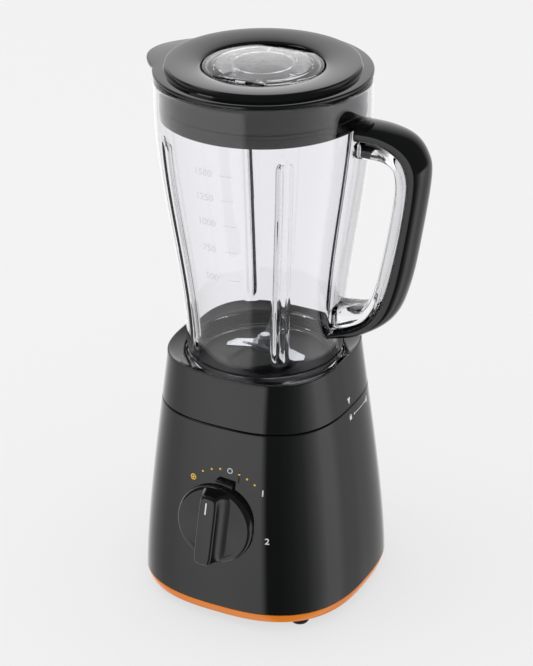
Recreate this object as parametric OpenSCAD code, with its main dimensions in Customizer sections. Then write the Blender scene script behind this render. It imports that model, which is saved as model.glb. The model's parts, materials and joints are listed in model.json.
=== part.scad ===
// Countertop blender: a power unit with a dial, a twist-on blade collar, a clear goblet,
// a lid and a filler cap. Z is up and the drive axis is the Z axis. The dial faces -Y,
// the goblet's handle points along +X, and the feet stand on z = 0.

/* [Casing] */
// Half-width of the casing at its lower edge
casing_half_w = 84; // [80:1:101]
// Height of the casing, from the trim ring to the seam
casing_h = 140; // [128:1:168]
// Height of the collar, from the seam to its rim
collar_h = 37; // [36:1:45]
// Squareness of the casing's outline at its foot, where 2 is a circle
foot_square = 2.67; // [2.3:0.05:3]
// Squareness of the collar's outline at its rim
rim_square = 2.93; // [2.3:0.05:3.2]
// How late the sides lean in, where 1 is a straight side
side_bow = 1.35; // [1:0.05:1.6]
// Wall of the casing and of the collar
shell_wall = 2.6; // [2.1:0.1:3.2]
// Thickness of the deck that closes the casing's top
deck_t = 3; // [2.5:0.5:4]
// Open seam between the casing and the collar
seam_gap = 0.6; // [0.4:0.1:1]

/* [Base] */
// Height of the feet below the trim ring
foot_h = 7; // [5.8:0.1:8.4]
// Radius of a foot
foot_r = 7; // [5.8:0.1:7.5]
// Distance of a foot from the middle of the base
foot_out = 78; // [72:1:79]
// Height of the coloured trim ring
trim_h = 7.1; // [6:0.1:9]
// How far the trim ring's lower edge is set in
trim_set_in = 1.8; // [1:0.1:2.5]
// Width of the trim ring's section
trim_w = 4; // [3:0.1:5]
// Thickness of the base plate
plate_t = 2.5; // [2:0.1:3]

/* [Dial] */
// Height of the dial's centre
dial_z = 88; // [84:1:94]
// Offset of the dial's centre to the right
dial_x = 6.6; // [0:0.1:8]
// Clockwise angle of the off position
dial_off_deg = 4.4; // [0:0.1:6]
// Radius of the knob's disc
knob_r = 29.3; // [24:0.1:31]
// Depth of the knob's disc
knob_disc_h = 16.4; // [12:0.1:18]
// Height of the grip bar above the disc
knob_bar_h = 13; // [11:0.5:15]
// Width of the grip bar at its front
knob_bar_w = 13; // [11:0.5:15]
// Radius of the knob's shaft
knob_shaft_r = 3; // [2.5:0.1:3.6]

/* [Motor] */
// Radius of the motor's shaft and of the blade shaft
shaft_r = 4; // [3.4:0.1:4.8]
// Height of the stator's stack of laminations
stack_h = 40; // [34:1:48]
// Radius of the armature
armature_r = 21.9; // [21:0.1:22.4]
// Air gap between the armature and the stator
air_gap = 0.5; // [0.4:0.05:0.8]
// Radius of the cooling fan
fan_r = 36; // [30:1:40]
// Height of the cooling fan
fan_h = 11; // [9:1:13]

/* [Bayonet] */
// Angle that the collar turns to unlock
twist_deg = 22.6; // [20:0.1:24]
// Inner radius of the tower that the collar locks onto
tower_r = 43; // [42:0.5:45]
// Height of a bayonet lug
lug_h = 4.6; // [4:0.1:5]
// Travel of the interlock plunger
plunger_rise = 2.5; // [2:0.1:3]

/* [Goblet] */
// Radius of the goblet at its foot
goblet_foot_r = 56; // [55:0.5:67]
// Radius of the goblet at its mouth
goblet_mouth_r = 74.9; // [72:0.1:78]
// Height of the goblet, from its foot ring to its rim
goblet_h = 206.8; // [190:1:248]
// Wall of the goblet
goblet_wall = 3; // [2.5:0.1:3.6]
// Depth of the flutes that stir the mix
flute_d = 4.5; // [3.5:0.1:5]
// Width of the handle across the palm
handle_w = 27; // [22:1:32]
// Depth of the goblet's neck in the collar
neck_h = 13.6; // [12:0.1:16]

/* [Lid] */
// Height of the lid's skirt inside the goblet
skirt_h = 28.8; // [24:0.1:34]
// Radius of the filler opening
filler_r = 42.6; // [36:0.1:44]
// Height of the lid's crown above its flange
crown_h = 4.5; // [4:0.1:6]
// Reach of the lift tab beyond the lid's flange
tab_reach = 11.1; // [9:0.1:13]

/* [Blades] */
// Length of a blade from the shaft's axis to its tip
blade_len = 31; // [26:1:36]
// Thickness of the blade steel
blade_t = 1.5; // [1.2:0.1:1.8]

/* [Hidden] */
$fn = 64;
cut = 1;
running_gap = 0.05;
slip_gap = 0.3;
loose_gap = 0.6;

// Levels from the ground up
trim_z = foot_h;
casing_z = trim_z + trim_h;
seam_z = casing_z + casing_h;
deck_z = seam_z - deck_t;
rim_z = seam_z + collar_h;
plate_z = trim_z + 1;
plate_top = plate_z + plate_t;

// Goblet's seat in the collar
foot_sink = 1.1;
seal_t = 2;
well_floor_t = 3;
foot_ring_z = rim_z - foot_sink;
neck_z = foot_ring_z - neck_h;
well_z = neck_z - seal_t;
floor_z = well_z - well_floor_t;
neck_r = goblet_foot_r - 2;
well_r = goblet_foot_r + 1;
rim_land = 8.1;
rim_half_w = goblet_foot_r + rim_land;
mouth_z = foot_ring_z + goblet_h;
flare_h = goblet_h - 20.8;

// Drive line above the deck
hub_drop = 2.5;
hub_z = floor_z - hub_drop;
dog_disc_t = 3;
dog_h = 5;
dog_gap = 1;
dog_r = 15;
dog_in_r = 8;
dog_out_r = 14;
dog_deg = 28;
dog_count = 3;
driven_top = hub_z - 0.5;
driven_disc_z = driven_top - dog_disc_t + 1;
driver_top = driven_disc_z - dog_h - dog_gap;
driver_z = driver_top - dog_disc_t;

// Tower and bayonet
tower_wall = 3;
tower_h = collar_h - (rim_z - floor_z) - 3;
tower_out_r = tower_r + tower_wall;
lug_out = 3;
lug_count = 4;
lug_deg = 22;
lug_turn = 45;
skirt_in_r = tower_out_r + lug_out + 1;
carrier_screw_at = skirt_in_r - 7;
bayonet_wall = 2.4;
lug_seat_gap = 0.4;
tower_lug_z = seam_z + tower_h - lug_h;
hook_z = tower_lug_z - lug_seat_gap - lug_h;

// Interlock
plunger_at = 36;
plunger_r = 2.2;
guide_r = 5;
guide_h = 4.5;
plunger_top = floor_z - 6.4;
plunger_z = deck_z - 11;
switch_top = plunger_z - slip_gap;
flange_r = 4.2;
flange_z = plunger_z + 4.2;
flange_t = 1.5;
spring_wire_r = 0.4;
spring_r = 3.4;
cam_clear = 0.3;

// Motor, hung from the deck
post_out = 52;
post_r = 4;
post_h = 12;
post_screw_r = 1.8;
mount_r = 6;
mount_t = 3;
bracket_t = 3;
bracket_top = deck_z - post_h - mount_t;
bracket_z = bracket_top - bracket_t;
arm_w = 14;
bearing_r = 7;
bearing_h = 7.5;
boss_r = 9.5;
commutator_r = 11;
commutator_h = 9;
winding_h = 8;
coil_h = 7;
stack_top = bracket_z - 25.5;
stack_z = stack_top - stack_h;
low_bracket_top = stack_z - winding_h - 2;
low_bracket_z = low_bracket_top - bracket_t;
low_boss_z = low_bracket_top - bearing_h;
fan_top = low_boss_z - 2;
fan_z = fan_top - fan_h;
shaft_z = fan_z - 1.5;
bore_r = armature_r + air_gap;
coil_in_r = bore_r + 0.5;
coil_w = 6.7;
coil_deg = 14;
coil_half = 56;
stator_w = 2 * (coil_in_r + coil_w + 3.5);
stator_d = stator_w - 8;
bolt_x = stator_w / 2 - 4.5;
bolt_y = stator_d / 2 - 4.5;
bolt_r = 2;
pillar_r = 4;
slot_count = 12;
slot_r = 2.2;
brush_w = 6;
brush_z = stack_top + winding_h + 1.5 + commutator_h / 2;
holder_wall = 1.5;

// Base fastening
base_post_out = 64;
base_post_r = 5;
base_post_top = casing_z + 26;
screw_r = 1.6;
screw_head_r = 3.4;
screw_len = 15;

// Dial and board, in the frame of the front face
switch_w = 30;
switch_depth = 18;
bush_r = 5.2;
board_w = 64;
board_h = 52;
board_t = 1.6;
board_post_r = 3;
board_screw_r = 1.2;
board_x = board_w / 2 - 5;
board_y = board_h / 2 - 5;
knob_gap = 1;
knob_flare = 5;

// Gland at the back
gland_z = 34;
gland_r = 6;
gland_bore = 3.6;

// Lid and cap
flange_w = 75.5 - 74.9;
lid_r = goblet_mouth_r + flange_w;
flange_top = mouth_z + 2.7;
crown_out = lid_r - 8.3;
crown_top = flange_top + crown_h;
mouth_in_r = goblet_mouth_r - goblet_wall;
skirt_r = mouth_in_r - 1;
skirt_z = mouth_z - skirt_h;
skirt_wall = 3;
seal_groove = 1.4;
seal_z = skirt_z + 4;
seal_h = 6;
ledge_z = mouth_z - 8;
cap_r = filler_r - 0.6;
cap_flat = cap_r - 6;
cap_z = ledge_z + 2;
cap_top = flange_top + 1.6;
cap_dome = 3.4;
cap_wall = 2.4;
plug_r = filler_r - 7;
plug_z = ledge_z - 6;

// ---- Shapes shared by several pieces ----

ring_points = 56;

// Half-width and squareness of the outside at a height
function height_share(z) = max(0, (z - casing_z) / (rim_z - casing_z));
function half_w(z) = casing_half_w - (casing_half_w - rim_half_w) * pow(height_share(z), side_bow);
function square_n(z) = foot_square + (rim_square - foot_square) * pow(height_share(z), 6);
function face_tilt(z) = atan((half_w(z - cut) - half_w(z + cut)) / (2 * cut));

// One ring of the squarish outline
function outline(half, n, z) = [
    for (i = [0 : ring_points - 1])
        let (a = 360 * i / ring_points, r = half / pow(pow(abs(cos(a)), n) + pow(abs(sin(a)), n), 1 / n))
        [r * cos(a), r * sin(a), z]
];

// Solid through a stack of rings that all have the same number of points
module loft(rings) {
    n = len(rings[0]);
    top = (len(rings) - 1) * n;
    faces = concat(
        [[for (i = [0 : n - 1]) i]],
        [for (k = [0 : len(rings) - 2]) for (i = [0 : n - 1])
            [k * n + i, (k + 1) * n + i, (k + 1) * n + (i + 1) % n, k * n + (i + 1) % n]],
        [[for (i = [n - 1 : -1 : 0]) top + i]]
    );
    polyhedron(points = [for (ring = rings) each ring], faces = faces, convexity = 6);
}

// Closed hoop through rings that go round its section, the outside ones upwards
module hoop(rings) {
    n = len(rings[0]);
    m = len(rings);
    faces = [for (k = [0 : m - 1]) for (i = [0 : n - 1])
        [k * n + i, (k + 1) % m * n + i, (k + 1) % m * n + (i + 1) % n, k * n + (i + 1) % n]];
    polyhedron(points = [for (ring = rings) each ring], faces = faces, convexity = 6);
}

// The outside shape between two heights, set in by a wall
module body_shape(z0, z1, inset = 0, steps = 6) {
    loft([for (i = [0 : steps]) let (z = z0 + (z1 - z0) * i / steps)
        outline(half_w(z) - inset, square_n(z), z)]);
}

// A straight squarish slab
module slab(z0, h, half0, half1) {
    loft([outline(half0, foot_square, z0), outline(half1, foot_square, z0 + h)]);
}

module tube(r_out, r_in, h) {
    difference() {
        cylinder(r = r_out, h = h);
        translate([0, 0, -cut]) cylinder(r = r_in, h = h + 2 * cut);
    }
}

// A sector of a ring, centred on the angle a
module ring_sector(r_in, r_out, h, a, deg) {
    rotate([0, 0, a - deg / 2])
        rotate_extrude(angle = deg)
            translate([r_in, 0]) square([r_out - r_in, h]);
}

// Screw with a pan head below z = 0 and a shank that rises from it
module screw(r, head_r, head_h, length) {
    cylinder(r = r, h = length);
    difference() {
        translate([0, 0, -head_h]) cylinder(r = head_r, h = head_h);
        for (a = [0, 90])
            rotate([0, 0, a]) translate([-r, -0.3, -head_h - cut]) cube([2 * r, 0.6, cut + 1]);
    }
}

// Places its children on a face of the body: local Z points out, local Y points up
module on_face(turn, z) {
    rotate([0, 0, turn])
        translate([0, -half_w(z), z])
            rotate([90 - face_tilt(z), 0, 0]) children();
}

// Places children on the dial's axis
module at_dial() {
    on_face(0, dial_z) translate([dial_x, 0, 0]) children();
}

module at_corners(out) {
    for (a = [45 : 90 : 315]) rotate([0, 0, a]) translate([out, 0, 0]) children();
}

module at_bolts() {
    for (x = [-bolt_x, bolt_x]) for (y = [-bolt_y, bolt_y]) translate([x, y, 0]) children();
}

// Round bar along a path, with rings square to it
function unit(v) = v / norm(v);
function along(path, i) = unit(path[min(i + 1, len(path) - 1)] - path[max(i - 1, 0)]);
module bar(path, r, sides, ref) {
    loft([for (i = [0 : len(path) - 1])
        let (t = along(path, i), u = unit(cross(ref, t)), v = cross(t, u))
        [for (k = [0 : sides - 1]) let (a = 360 * k / sides) path[i] + r * (cos(a) * u + sin(a) * v)]]);
}

// Smooth curve through chosen points, a few steps to each span
function spline_point(p, i, t) =
    let (a = p[max(i - 1, 0)], b = p[i], c = p[i + 1], d = p[min(i + 2, len(p) - 1)])
    0.5 * (2 * b + (c - a) * t + (2 * a - 5 * b + 4 * c - d) * t * t + (3 * b - a - 3 * c + d) * t * t * t);
function spline(p, steps) = concat(
    [for (i = [0 : len(p) - 2]) for (k = [0 : steps - 1]) spline_point(p, i, k / steps)],
    [p[len(p) - 1]]
);

// ---- Power unit ----

module casing() color("#2b2c2e") {
    difference() {
        union() {
            difference() {
                body_shape(casing_z, seam_z);
                body_shape(casing_z - cut, deck_z, shell_wall);
            }
            intersection() {
                body_shape(casing_z + 1, seam_z - 1, shell_wall / 2, 3);
                union() {
                    at_corners(base_post_out)
                        translate([0, 0, plate_top]) cylinder(r = base_post_r, h = base_post_top - plate_top);
                    at_corners(base_post_out)
                        translate([base_post_r - 1, -1, casing_z + 2])
                            cube([casing_half_w / 2, 2, base_post_top - casing_z - 2]);
                    at_dial() board_posts();
                }
            }
            tube_on_deck();
            at_corners(post_out) translate([0, 0, deck_z - post_h]) cylinder(r = post_r, h = post_h + 1);
            translate([-plunger_at, 0, deck_z]) cylinder(r = guide_r, h = deck_t + guide_h);
            for (y = [-7.5, 7.5])
                translate([-plunger_at, y, plunger_z - slip_gap]) cylinder(r = 2.5, h = deck_z + 1 - plunger_z);
        }
        at_corners(base_post_out) translate([0, 0, plate_top - cut]) cylinder(r = screw_r, h = screw_len + cut);
        at_dial() translate([0, 0, -10]) cylinder(r = bush_r + slip_gap, h = 20);
        at_dial() board_screw_holes();
        on_face(180, gland_z) translate([0, 0, -10]) cylinder(r = gland_r, h = 20);
        translate([0, 0, deck_z - cut]) cylinder(r = shaft_r + 1.5, h = deck_t + 2 * cut);
        translate([-plunger_at, 0, deck_z - cut])
            cylinder(r = plunger_r + running_gap, h = deck_t + guide_h + 2 * cut);
        at_corners(post_out)
            translate([0, 0, deck_z - post_h - cut]) cylinder(r = post_screw_r, h = post_h + cut);
        for (y = [-7.5, 7.5])
            translate([-plunger_at, y, plunger_z - cut]) cylinder(r = 1.1, h = 8);
    }
}

// Round tower on the deck, with the lugs that hold the collar down
module tube_on_deck() {
    translate([0, 0, deck_z + 1]) tube(tower_out_r, tower_r, deck_t - 1 + tower_h);
    for (i = [0 : lug_count - 1])
        translate([0, 0, tower_lug_z])
            ring_sector(tower_out_r - 1, tower_out_r + lug_out, lug_h, lug_turn + 90 * i, lug_deg);
}

module board_posts() {
    for (x = [-board_x, board_x]) for (y = [-board_y, board_y])
        translate([x, y, -switch_depth]) cylinder(r = board_post_r, h = switch_depth - 1);
}

module board_screw_holes() {
    for (x = [-board_x, board_x]) for (y = [-board_y, board_y])
        translate([x, y, -switch_depth - cut]) cylinder(r = board_screw_r, h = 9);
}

module trim_ring() color("#e8822b") hoop([
    outline(casing_half_w - trim_set_in, foot_square, trim_z),
    outline(casing_half_w, foot_square, casing_z),
    outline(casing_half_w - trim_w, foot_square, casing_z),
    outline(casing_half_w - trim_w, foot_square, trim_z)
]);

module base_plate() color("#26272a") {
    inner = casing_half_w - trim_w - 0.2;
    difference() {
        union() {
            slab(plate_z, plate_t, inner, inner);
            at_corners(base_post_out)
                translate([0, 0, plate_z]) cylinder(r = screw_head_r + 2, h = plate_t);
        }
        at_corners(base_post_out) translate([0, 0, plate_z - cut]) cylinder(r = screw_r + slip_gap, h = 20);
        at_corners(base_post_out)
            translate([0, 0, plate_z - cut]) cylinder(r = screw_head_r + slip_gap, h = cut + 1);
        at_corners(foot_out) translate([0, 0, plate_z - cut]) cylinder(r = foot_r / 2.5, h = plate_t + 2 * cut);
        for (x = [-27 : 9 : 27]) for (y = [-14, 14])
            translate([x - 1.5, y - 11, plate_z - cut]) cube([3, 22, plate_t + 2 * cut]);
    }
}

module feet() color("#1b1b1c") at_corners(foot_out) {
    cylinder(r1 = foot_r - 1, r2 = foot_r, h = 1.5);
    translate([0, 0, 1.5]) cylinder(r = foot_r, h = plate_z - 1.5);
    cylinder(r = foot_r / 2.5, h = plate_top);
    translate([0, 0, plate_top]) cylinder(r1 = foot_r / 2, r2 = foot_r / 3, h = 2);
}

module base_screws() color("#b9bbbd")
    at_corners(base_post_out) translate([0, 0, plate_z + 1])
        screw(screw_r, screw_head_r, 1, screw_len + plate_t - 1.5);

module cord_gland() color("#202123") on_face(180, gland_z) {
    difference() {
        union() {
            translate([0, 0, 0.4]) cylinder(r1 = gland_r + 2.5, r2 = gland_r + 1.5, h = 2.6);
            translate([0, 0, -shell_wall - 5]) cylinder(r = gland_r, h = shell_wall + 5.4);
            translate([0, 0, -shell_wall - 5]) cylinder(r = gland_r + 1.6, h = 4);
        }
        translate([0, 0, -20]) cylinder(r = gland_bore, h = 40);
    }
}

module bracket_plan() {
    for (a = [45, 135]) rotate([0, 0, a]) square([2 * post_out, arm_w], center = true);
    for (a = [45 : 90 : 315]) rotate([0, 0, a]) translate([post_out, 0]) circle(r = arm_w / 2);
    circle(r = 18);
}

module motor_upper_bracket() color("#a7a9ab") difference() {
    union() {
        translate([0, 0, bracket_z]) linear_extrude(bracket_t) {
            bracket_plan();
            square([12, 2 * (bore_r + 9)], center = true);
        }
        translate([0, 0, bracket_top - bearing_h]) cylinder(r = boss_r, h = bearing_h);
        at_bolts() translate([0, 0, stack_top]) cylinder(r = pillar_r, h = bracket_top - stack_top);
    }
    translate([0, 0, bracket_top - bearing_h - cut]) cylinder(r = bearing_r, h = bearing_h + 2 * cut);
    at_bolts() translate([0, 0, stack_top - cut]) cylinder(r = bolt_r, h = bracket_top - stack_top + 2 * cut);
    at_corners(post_out) translate([0, 0, bracket_z - cut]) cylinder(r = post_screw_r + 1.4, h = 10);
}

module motor_lower_bracket() color("#a7a9ab") difference() {
    union() {
        translate([0, 0, low_bracket_z]) linear_extrude(bracket_t) {
            circle(r = 15);
            for (s = [-1, 1])
                rotate([0, 0, s * atan(bolt_y / bolt_x)])
                    square([2 * norm([bolt_x, bolt_y]), 10], center = true);
            at_bolts() circle(r = 5.5);
        }
        translate([0, 0, low_boss_z]) cylinder(r = boss_r, h = bearing_h);
        at_bolts()
            translate([0, 0, low_bracket_top - 1]) cylinder(r = pillar_r, h = stack_z - low_bracket_top + 1);
    }
    translate([0, 0, low_boss_z - cut]) cylinder(r = bearing_r, h = bearing_h + 2 * cut);
    at_bolts() translate([0, 0, low_bracket_z - cut]) cylinder(r = bolt_r, h = 40);
}

module motor_bolts() color("#c4c6c8") at_bolts() {
    translate([0, 0, low_bracket_z]) screw(bolt_r, 3.6, 2.4, bracket_top - low_bracket_z - 1);
}

module motor_mounts() color("#1d1d1f") at_corners(post_out) {
    translate([0, 0, bracket_top]) tube(mount_r, post_screw_r, mount_t);
    translate([0, 0, bracket_z]) tube(post_screw_r + 1.4, post_screw_r, bracket_t);
}

module motor_mount_screws() color("#c4c6c8")
    at_corners(post_out) translate([0, 0, bracket_z])
        screw(post_screw_r, 4.4, 2.4, bracket_t + mount_t + post_h - 2);

module coil_plan(spare) {
    for (a = [0, 180]) for (s = [-1, 1])
        rotate([0, 0, a + s * (coil_half - coil_deg / 2)])
            translate([0, 0, -cut])
                rotate([0, 0, -coil_deg / 2 - spare])
                    rotate_extrude(angle = coil_deg + 2 * spare)
                        translate([coil_in_r - cut, 0]) square([coil_w + cut + 0.5, stack_h + 2 * cut]);
}

module stator_core() color("#8d8f92") translate([0, 0, stack_z]) difference() {
    translate([-stator_w / 2, -stator_d / 2, 0]) cube([stator_w, stator_d, stack_h]);
    translate([0, 0, -cut]) cylinder(r = bore_r, h = stack_h + 2 * cut);
    coil_plan(1);
    at_bolts() translate([0, 0, -cut]) cylinder(r = bolt_r, h = stack_h + 2 * cut);
    for (i = [1 : 7]) {
        z = stack_h * i / 8;
        for (s = [-1, 1]) {
            translate([-stator_w, s * stator_d / 2 - 0.3, z]) cube([2 * stator_w, 0.6, 0.5]);
            translate([s * stator_w / 2 - 0.3, -stator_d, z]) cube([0.6, 2 * stator_d, 0.5]);
        }
    }
}

// Two copper coils, each round one pole of the stator
module field_coils() color("#b5642c") for (a = [0, 180]) {
    for (z = [stack_z - coil_h, stack_top])
        translate([0, 0, z]) ring_sector(coil_in_r, coil_in_r + coil_w, coil_h, a, 2 * coil_half);
    for (s = [-1, 1])
        translate([0, 0, stack_z - 1])
            ring_sector(coil_in_r, coil_in_r + coil_w, stack_h + 2,
                a + s * (coil_half - coil_deg / 2), coil_deg);
}

module upper_bearing() color("#b08d57")
    translate([0, 0, bracket_top - bearing_h]) tube(bearing_r, shaft_r + running_gap, bearing_h);

module lower_bearing() color("#b08d57")
    translate([0, 0, low_boss_z]) tube(bearing_r, shaft_r + running_gap, bearing_h);

module brush_holders() color("#6d4a2b") for (a = [0, 180]) rotate([0, 0, a]) difference() {
    outer = brush_w + 2 * (holder_wall + 0.2);
    union() {
        translate([-outer / 2, commutator_r + 2, brush_z - outer / 2]) cube([outer, 17, outer]);
        translate([-outer / 2, commutator_r + 9, brush_z]) cube([outer, 8, bracket_z - brush_z]);
    }
    translate([-brush_w / 2 - 0.2, commutator_r, brush_z - brush_w / 2 - 0.2])
        cube([brush_w + 0.4, 17.5, brush_w + 0.4]);
}

module carbon_brushes() color("#2f2f31") for (a = [0, 180]) rotate([0, 0, a])
    difference() {
        translate([-brush_w / 2, commutator_r - 2, brush_z - brush_w / 2]) cube([brush_w, 16, brush_w]);
        translate([0, 0, brush_z - brush_w]) cylinder(r = commutator_r + 0.1, h = 2 * brush_w);
    }

module speed_switch() color("#c9c4b4") at_dial() difference() {
    union() {
        translate([-switch_w / 2, -switch_w / 2, -switch_depth]) cube([switch_w, switch_w, switch_depth - 4.2]);
        translate([0, 0, -5]) cylinder(r = bush_r, h = 4.7);
    }
    translate([0, 0, -14]) cylinder(r = knob_shaft_r + running_gap, h = 20);
}

module control_board() color("#2f6b3c") at_dial() difference() {
    translate([-board_w / 2, -board_h / 2, -switch_depth - board_t]) cube([board_w, board_h, board_t]);
    for (x = [-board_x, board_x]) for (y = [-board_y, board_y])
        translate([x, y, -switch_depth - 3]) cylinder(r = board_screw_r + slip_gap, h = 6);
}

module board_parts() color("#3b3d44") at_dial() translate([0, 0, -switch_depth - board_t]) {
    translate([-20, 12, -9]) cylinder(r = 5, h = 9);
    translate([-8, 14, -9]) cylinder(r = 5, h = 9);
    translate([6, 8, -8]) cube([14, 10, 8]);
    translate([-22, -14, -7]) cube([16, 12, 7]);
    translate([0, -16, -9]) cube([3, 20, 9]);
    translate([12, -14, -6]) cube([8, 16, 6]);
}

module board_screws() color("#c4c6c8") at_dial()
    for (x = [-board_x, board_x]) for (y = [-board_y, board_y])
        translate([x, y, -switch_depth - board_t]) screw(board_screw_r, 2.6, 1.6, 9);

module interlock_switch() color("#3a3c40") difference() {
    union() {
        translate([-plunger_at - 3.5, -10, switch_top - 10]) cube([7, 20, 10]);
        for (y = [-3.5, 0, 3.5])
            translate([-plunger_at - 0.5, y - 1, switch_top - 14]) cube([1, 2, 5]);
    }
    for (y = [-7.5, 7.5]) translate([-plunger_at, y, switch_top - 20]) cylinder(r = 1.1, h = 30);
}

module interlock_screws() color("#c4c6c8") for (y = [-7.5, 7.5])
    translate([-plunger_at, y, switch_top - 10]) screw(1.1, 2, 1.2, 16);

// Coil spring under the plunger's flange
module interlock_spring() color("#cfd1d3") {
    turns = 4;
    rise = flange_z - plunger_z - 2 * spring_wire_r;
    steps = 14 * turns;
    path = [for (i = [0 : steps]) let (a = 360 * turns * i / steps)
        [spring_r * cos(a) - plunger_at, spring_r * sin(a), plunger_z + spring_wire_r + rise * i / steps]];
    bar(path, spring_wire_r, 6, [0, 0, 1]);
}

// Mains wires from the gland to the board, and from the board to the motor
module wiring() color("#7a3b2e") {
    back = half_w(gland_z) - shell_wall - 6;
    front = half_w(dial_z) - switch_depth - board_t - 11;
    low = plate_top + 7;
    mains = [[0, back, gland_z], [4, back - 8, gland_z - 3], [24, 42, low], [44, 14, low],
        [48, -16, low + 10], [34, -front, 62], [16, -front - 2, dial_z - 10]];
    motor = [[-14, -front - 1, dial_z - 6], [-30, -front + 2, dial_z + 6], [-bolt_x - 12, -20, stack_top - 8],
        [-bolt_x - 9, -8, stack_top + 3], [-coil_in_r - coil_w - 1.6, -2, stack_top + coil_h - 2]];
    bar(spline(mains, 4), 2, 8, [0, 0, 1]);
    bar(spline(motor, 4), 1.5, 8, [0, 0, 1]);
}

// ---- Rotor ----

module motor_shaft() color("#d5d7d9")
    translate([0, 0, shaft_z]) cylinder(r = shaft_r, h = driver_top + 1.2 - shaft_z);

module slots(r, spare) {
    for (i = [0 : slot_count - 1]) rotate([0, 0, 360 * i / slot_count])
        translate([armature_r - 4.2, 0, 0]) cylinder(r = r - spare, h = stack_h);
}

module armature_core() color("#7d7f83") translate([0, 0, stack_z]) difference() {
    cylinder(r = armature_r, h = stack_h);
    translate([0, 0, -cut]) cylinder(r = shaft_r, h = stack_h + 2 * cut);
    translate([0, 0, -cut]) scale([1, 1, 2]) slots(slot_r, 0);
    for (i = [0 : slot_count - 1]) rotate([0, 0, 360 * i / slot_count])
        translate([armature_r - 4, -0.6, -cut]) cube([5, 1.2, stack_h + 2 * cut]);
}

module armature_winding() color("#b5642c") {
    for (z = [stack_z - winding_h, stack_top]) translate([0, 0, z]) tube(armature_r - 2, shaft_r, winding_h);
    translate([0, 0, stack_z]) slots(slot_r, 0.3);
}

module commutator() color("#c87533") translate([0, 0, brush_z - commutator_h / 2]) difference() {
    tube(commutator_r, shaft_r, commutator_h);
    for (i = [0 : slot_count - 1]) rotate([0, 0, 360 * (i + 0.5) / slot_count])
        translate([commutator_r - 1.2, -0.25, -cut]) cube([3, 0.5, commutator_h + 2 * cut]);
}

module cooling_fan() color("#31333a") translate([0, 0, fan_z]) difference() {
    union() {
        cylinder(r = 8, h = fan_h);
        translate([0, 0, fan_h - 1.5]) cylinder(r = fan_r, h = 1.5);
        for (i = [0 : 10]) rotate([0, 0, 360 * i / 11])
            translate([7, -0.8, 0]) cube([fan_r - 7.5, 1.6, fan_h - 1]);
    }
    translate([0, 0, -cut]) cylinder(r = shaft_r, h = fan_h + 2 * cut);
}

// Three upright teeth that push the three hanging teeth of the blade shaft's dog
module drive_dog() color("#3d3f43") difference() {
    union() {
        translate([0, 0, driver_z]) cylinder(r = dog_r, h = dog_disc_t);
        translate([0, 0, driver_z - 1.2]) cylinder(r = 7, h = dog_disc_t);
        for (i = [0 : dog_count - 1])
            translate([0, 0, driver_top - 1])
                ring_sector(dog_in_r, dog_out_r, dog_h + 1, 360 * i / dog_count, dog_deg);
    }
    translate([0, 0, driver_z - 5]) cylinder(r = shaft_r, h = 20);
}

// ---- Interlock plunger ----

module interlock_plunger() color("#d9d4c5") translate([-plunger_at, 0, 0]) {
    translate([0, 0, plunger_z]) cylinder(r = plunger_r, h = plunger_top - plunger_r - plunger_z);
    translate([0, 0, plunger_top - plunger_r]) sphere(r = plunger_r);
    translate([0, 0, flange_z]) cylinder(r = flange_r, h = flange_t);
}

// ---- Knob ----

module knob() color("#1f2022") at_dial() rotate([0, 0, -dial_off_deg]) difference() {
    flare_h = 0.55 * knob_disc_h;
    union() {
        translate([0, 0, knob_gap]) cylinder(r1 = knob_r - knob_flare, r2 = knob_r, h = flare_h);
        translate([0, 0, knob_gap + flare_h - 0.01])
            cylinder(r1 = knob_r, r2 = knob_r - 0.8, h = knob_disc_h - flare_h + 0.01);
        translate([-7, knob_r - 8, knob_gap]) cube([14, 9.5, flare_h - 1]);
        intersection() {
            translate([0, -knob_r - 2, knob_gap + knob_disc_h - 1]) rotate([-90, 0, 0])
                linear_extrude(2 * knob_r - 1.5)
                    polygon([[-knob_bar_w / 2 - knob_flare, 0], [-knob_bar_w / 2, -knob_bar_h - 1],
                        [knob_bar_w / 2, -knob_bar_h - 1], [knob_bar_w / 2 + knob_flare, 0]]);
            cylinder(r = knob_r + 2, h = 60);
        }
    }
    translate([0, 0, -cut]) cylinder(r = knob_shaft_r, h = knob_gap + knob_disc_h + 2);
    translate([0, 0, -cut]) difference() {
        cylinder(r = knob_r - knob_flare - 2.5, h = knob_gap + knob_disc_h - 2);
        cylinder(r = knob_shaft_r + 2.5, h = 40);
    }
}

module knob_shaft() color("#cfd1d3") at_dial()
    translate([0, 0, -13.5]) cylinder(r = knob_shaft_r, h = 13.5 + knob_gap + knob_disc_h);

// ---- Collar with the blades ----

module collar() color("#2b2c2e") {
    difference() {
        body_shape(seam_z + seam_gap, rim_z);
        body_shape(seam_z + seam_gap - cut, rim_z - deck_t, shell_wall);
        translate([0, 0, rim_z - 10]) cylinder(r = well_r, h = 20);
    }
    difference() {
        translate([0, 0, floor_z]) cylinder(r = well_r + shell_wall, h = rim_z - 1 - floor_z);
        translate([0, 0, well_z]) cylinder(r = well_r, h = 40);
        translate([0, 0, floor_z - cut]) cylinder(r = 17 + slip_gap, h = 20);
        for (a = [30 : 120 : 270]) rotate([0, 0, a])
            translate([carrier_screw_at, 0, floor_z - cut]) cylinder(r = 1.8, h = 20);
    }
    translate([0, 0, hook_z - 1]) tube(skirt_in_r + bayonet_wall, skirt_in_r, floor_z + 1 - hook_z + 1);
    for (i = [0 : lug_count - 1])
        translate([0, 0, hook_z])
            ring_sector(tower_out_r + loose_gap, skirt_in_r + 1, lug_h, lug_turn + 90 * i, lug_deg - 2);
    interlock_cam();
}

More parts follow.
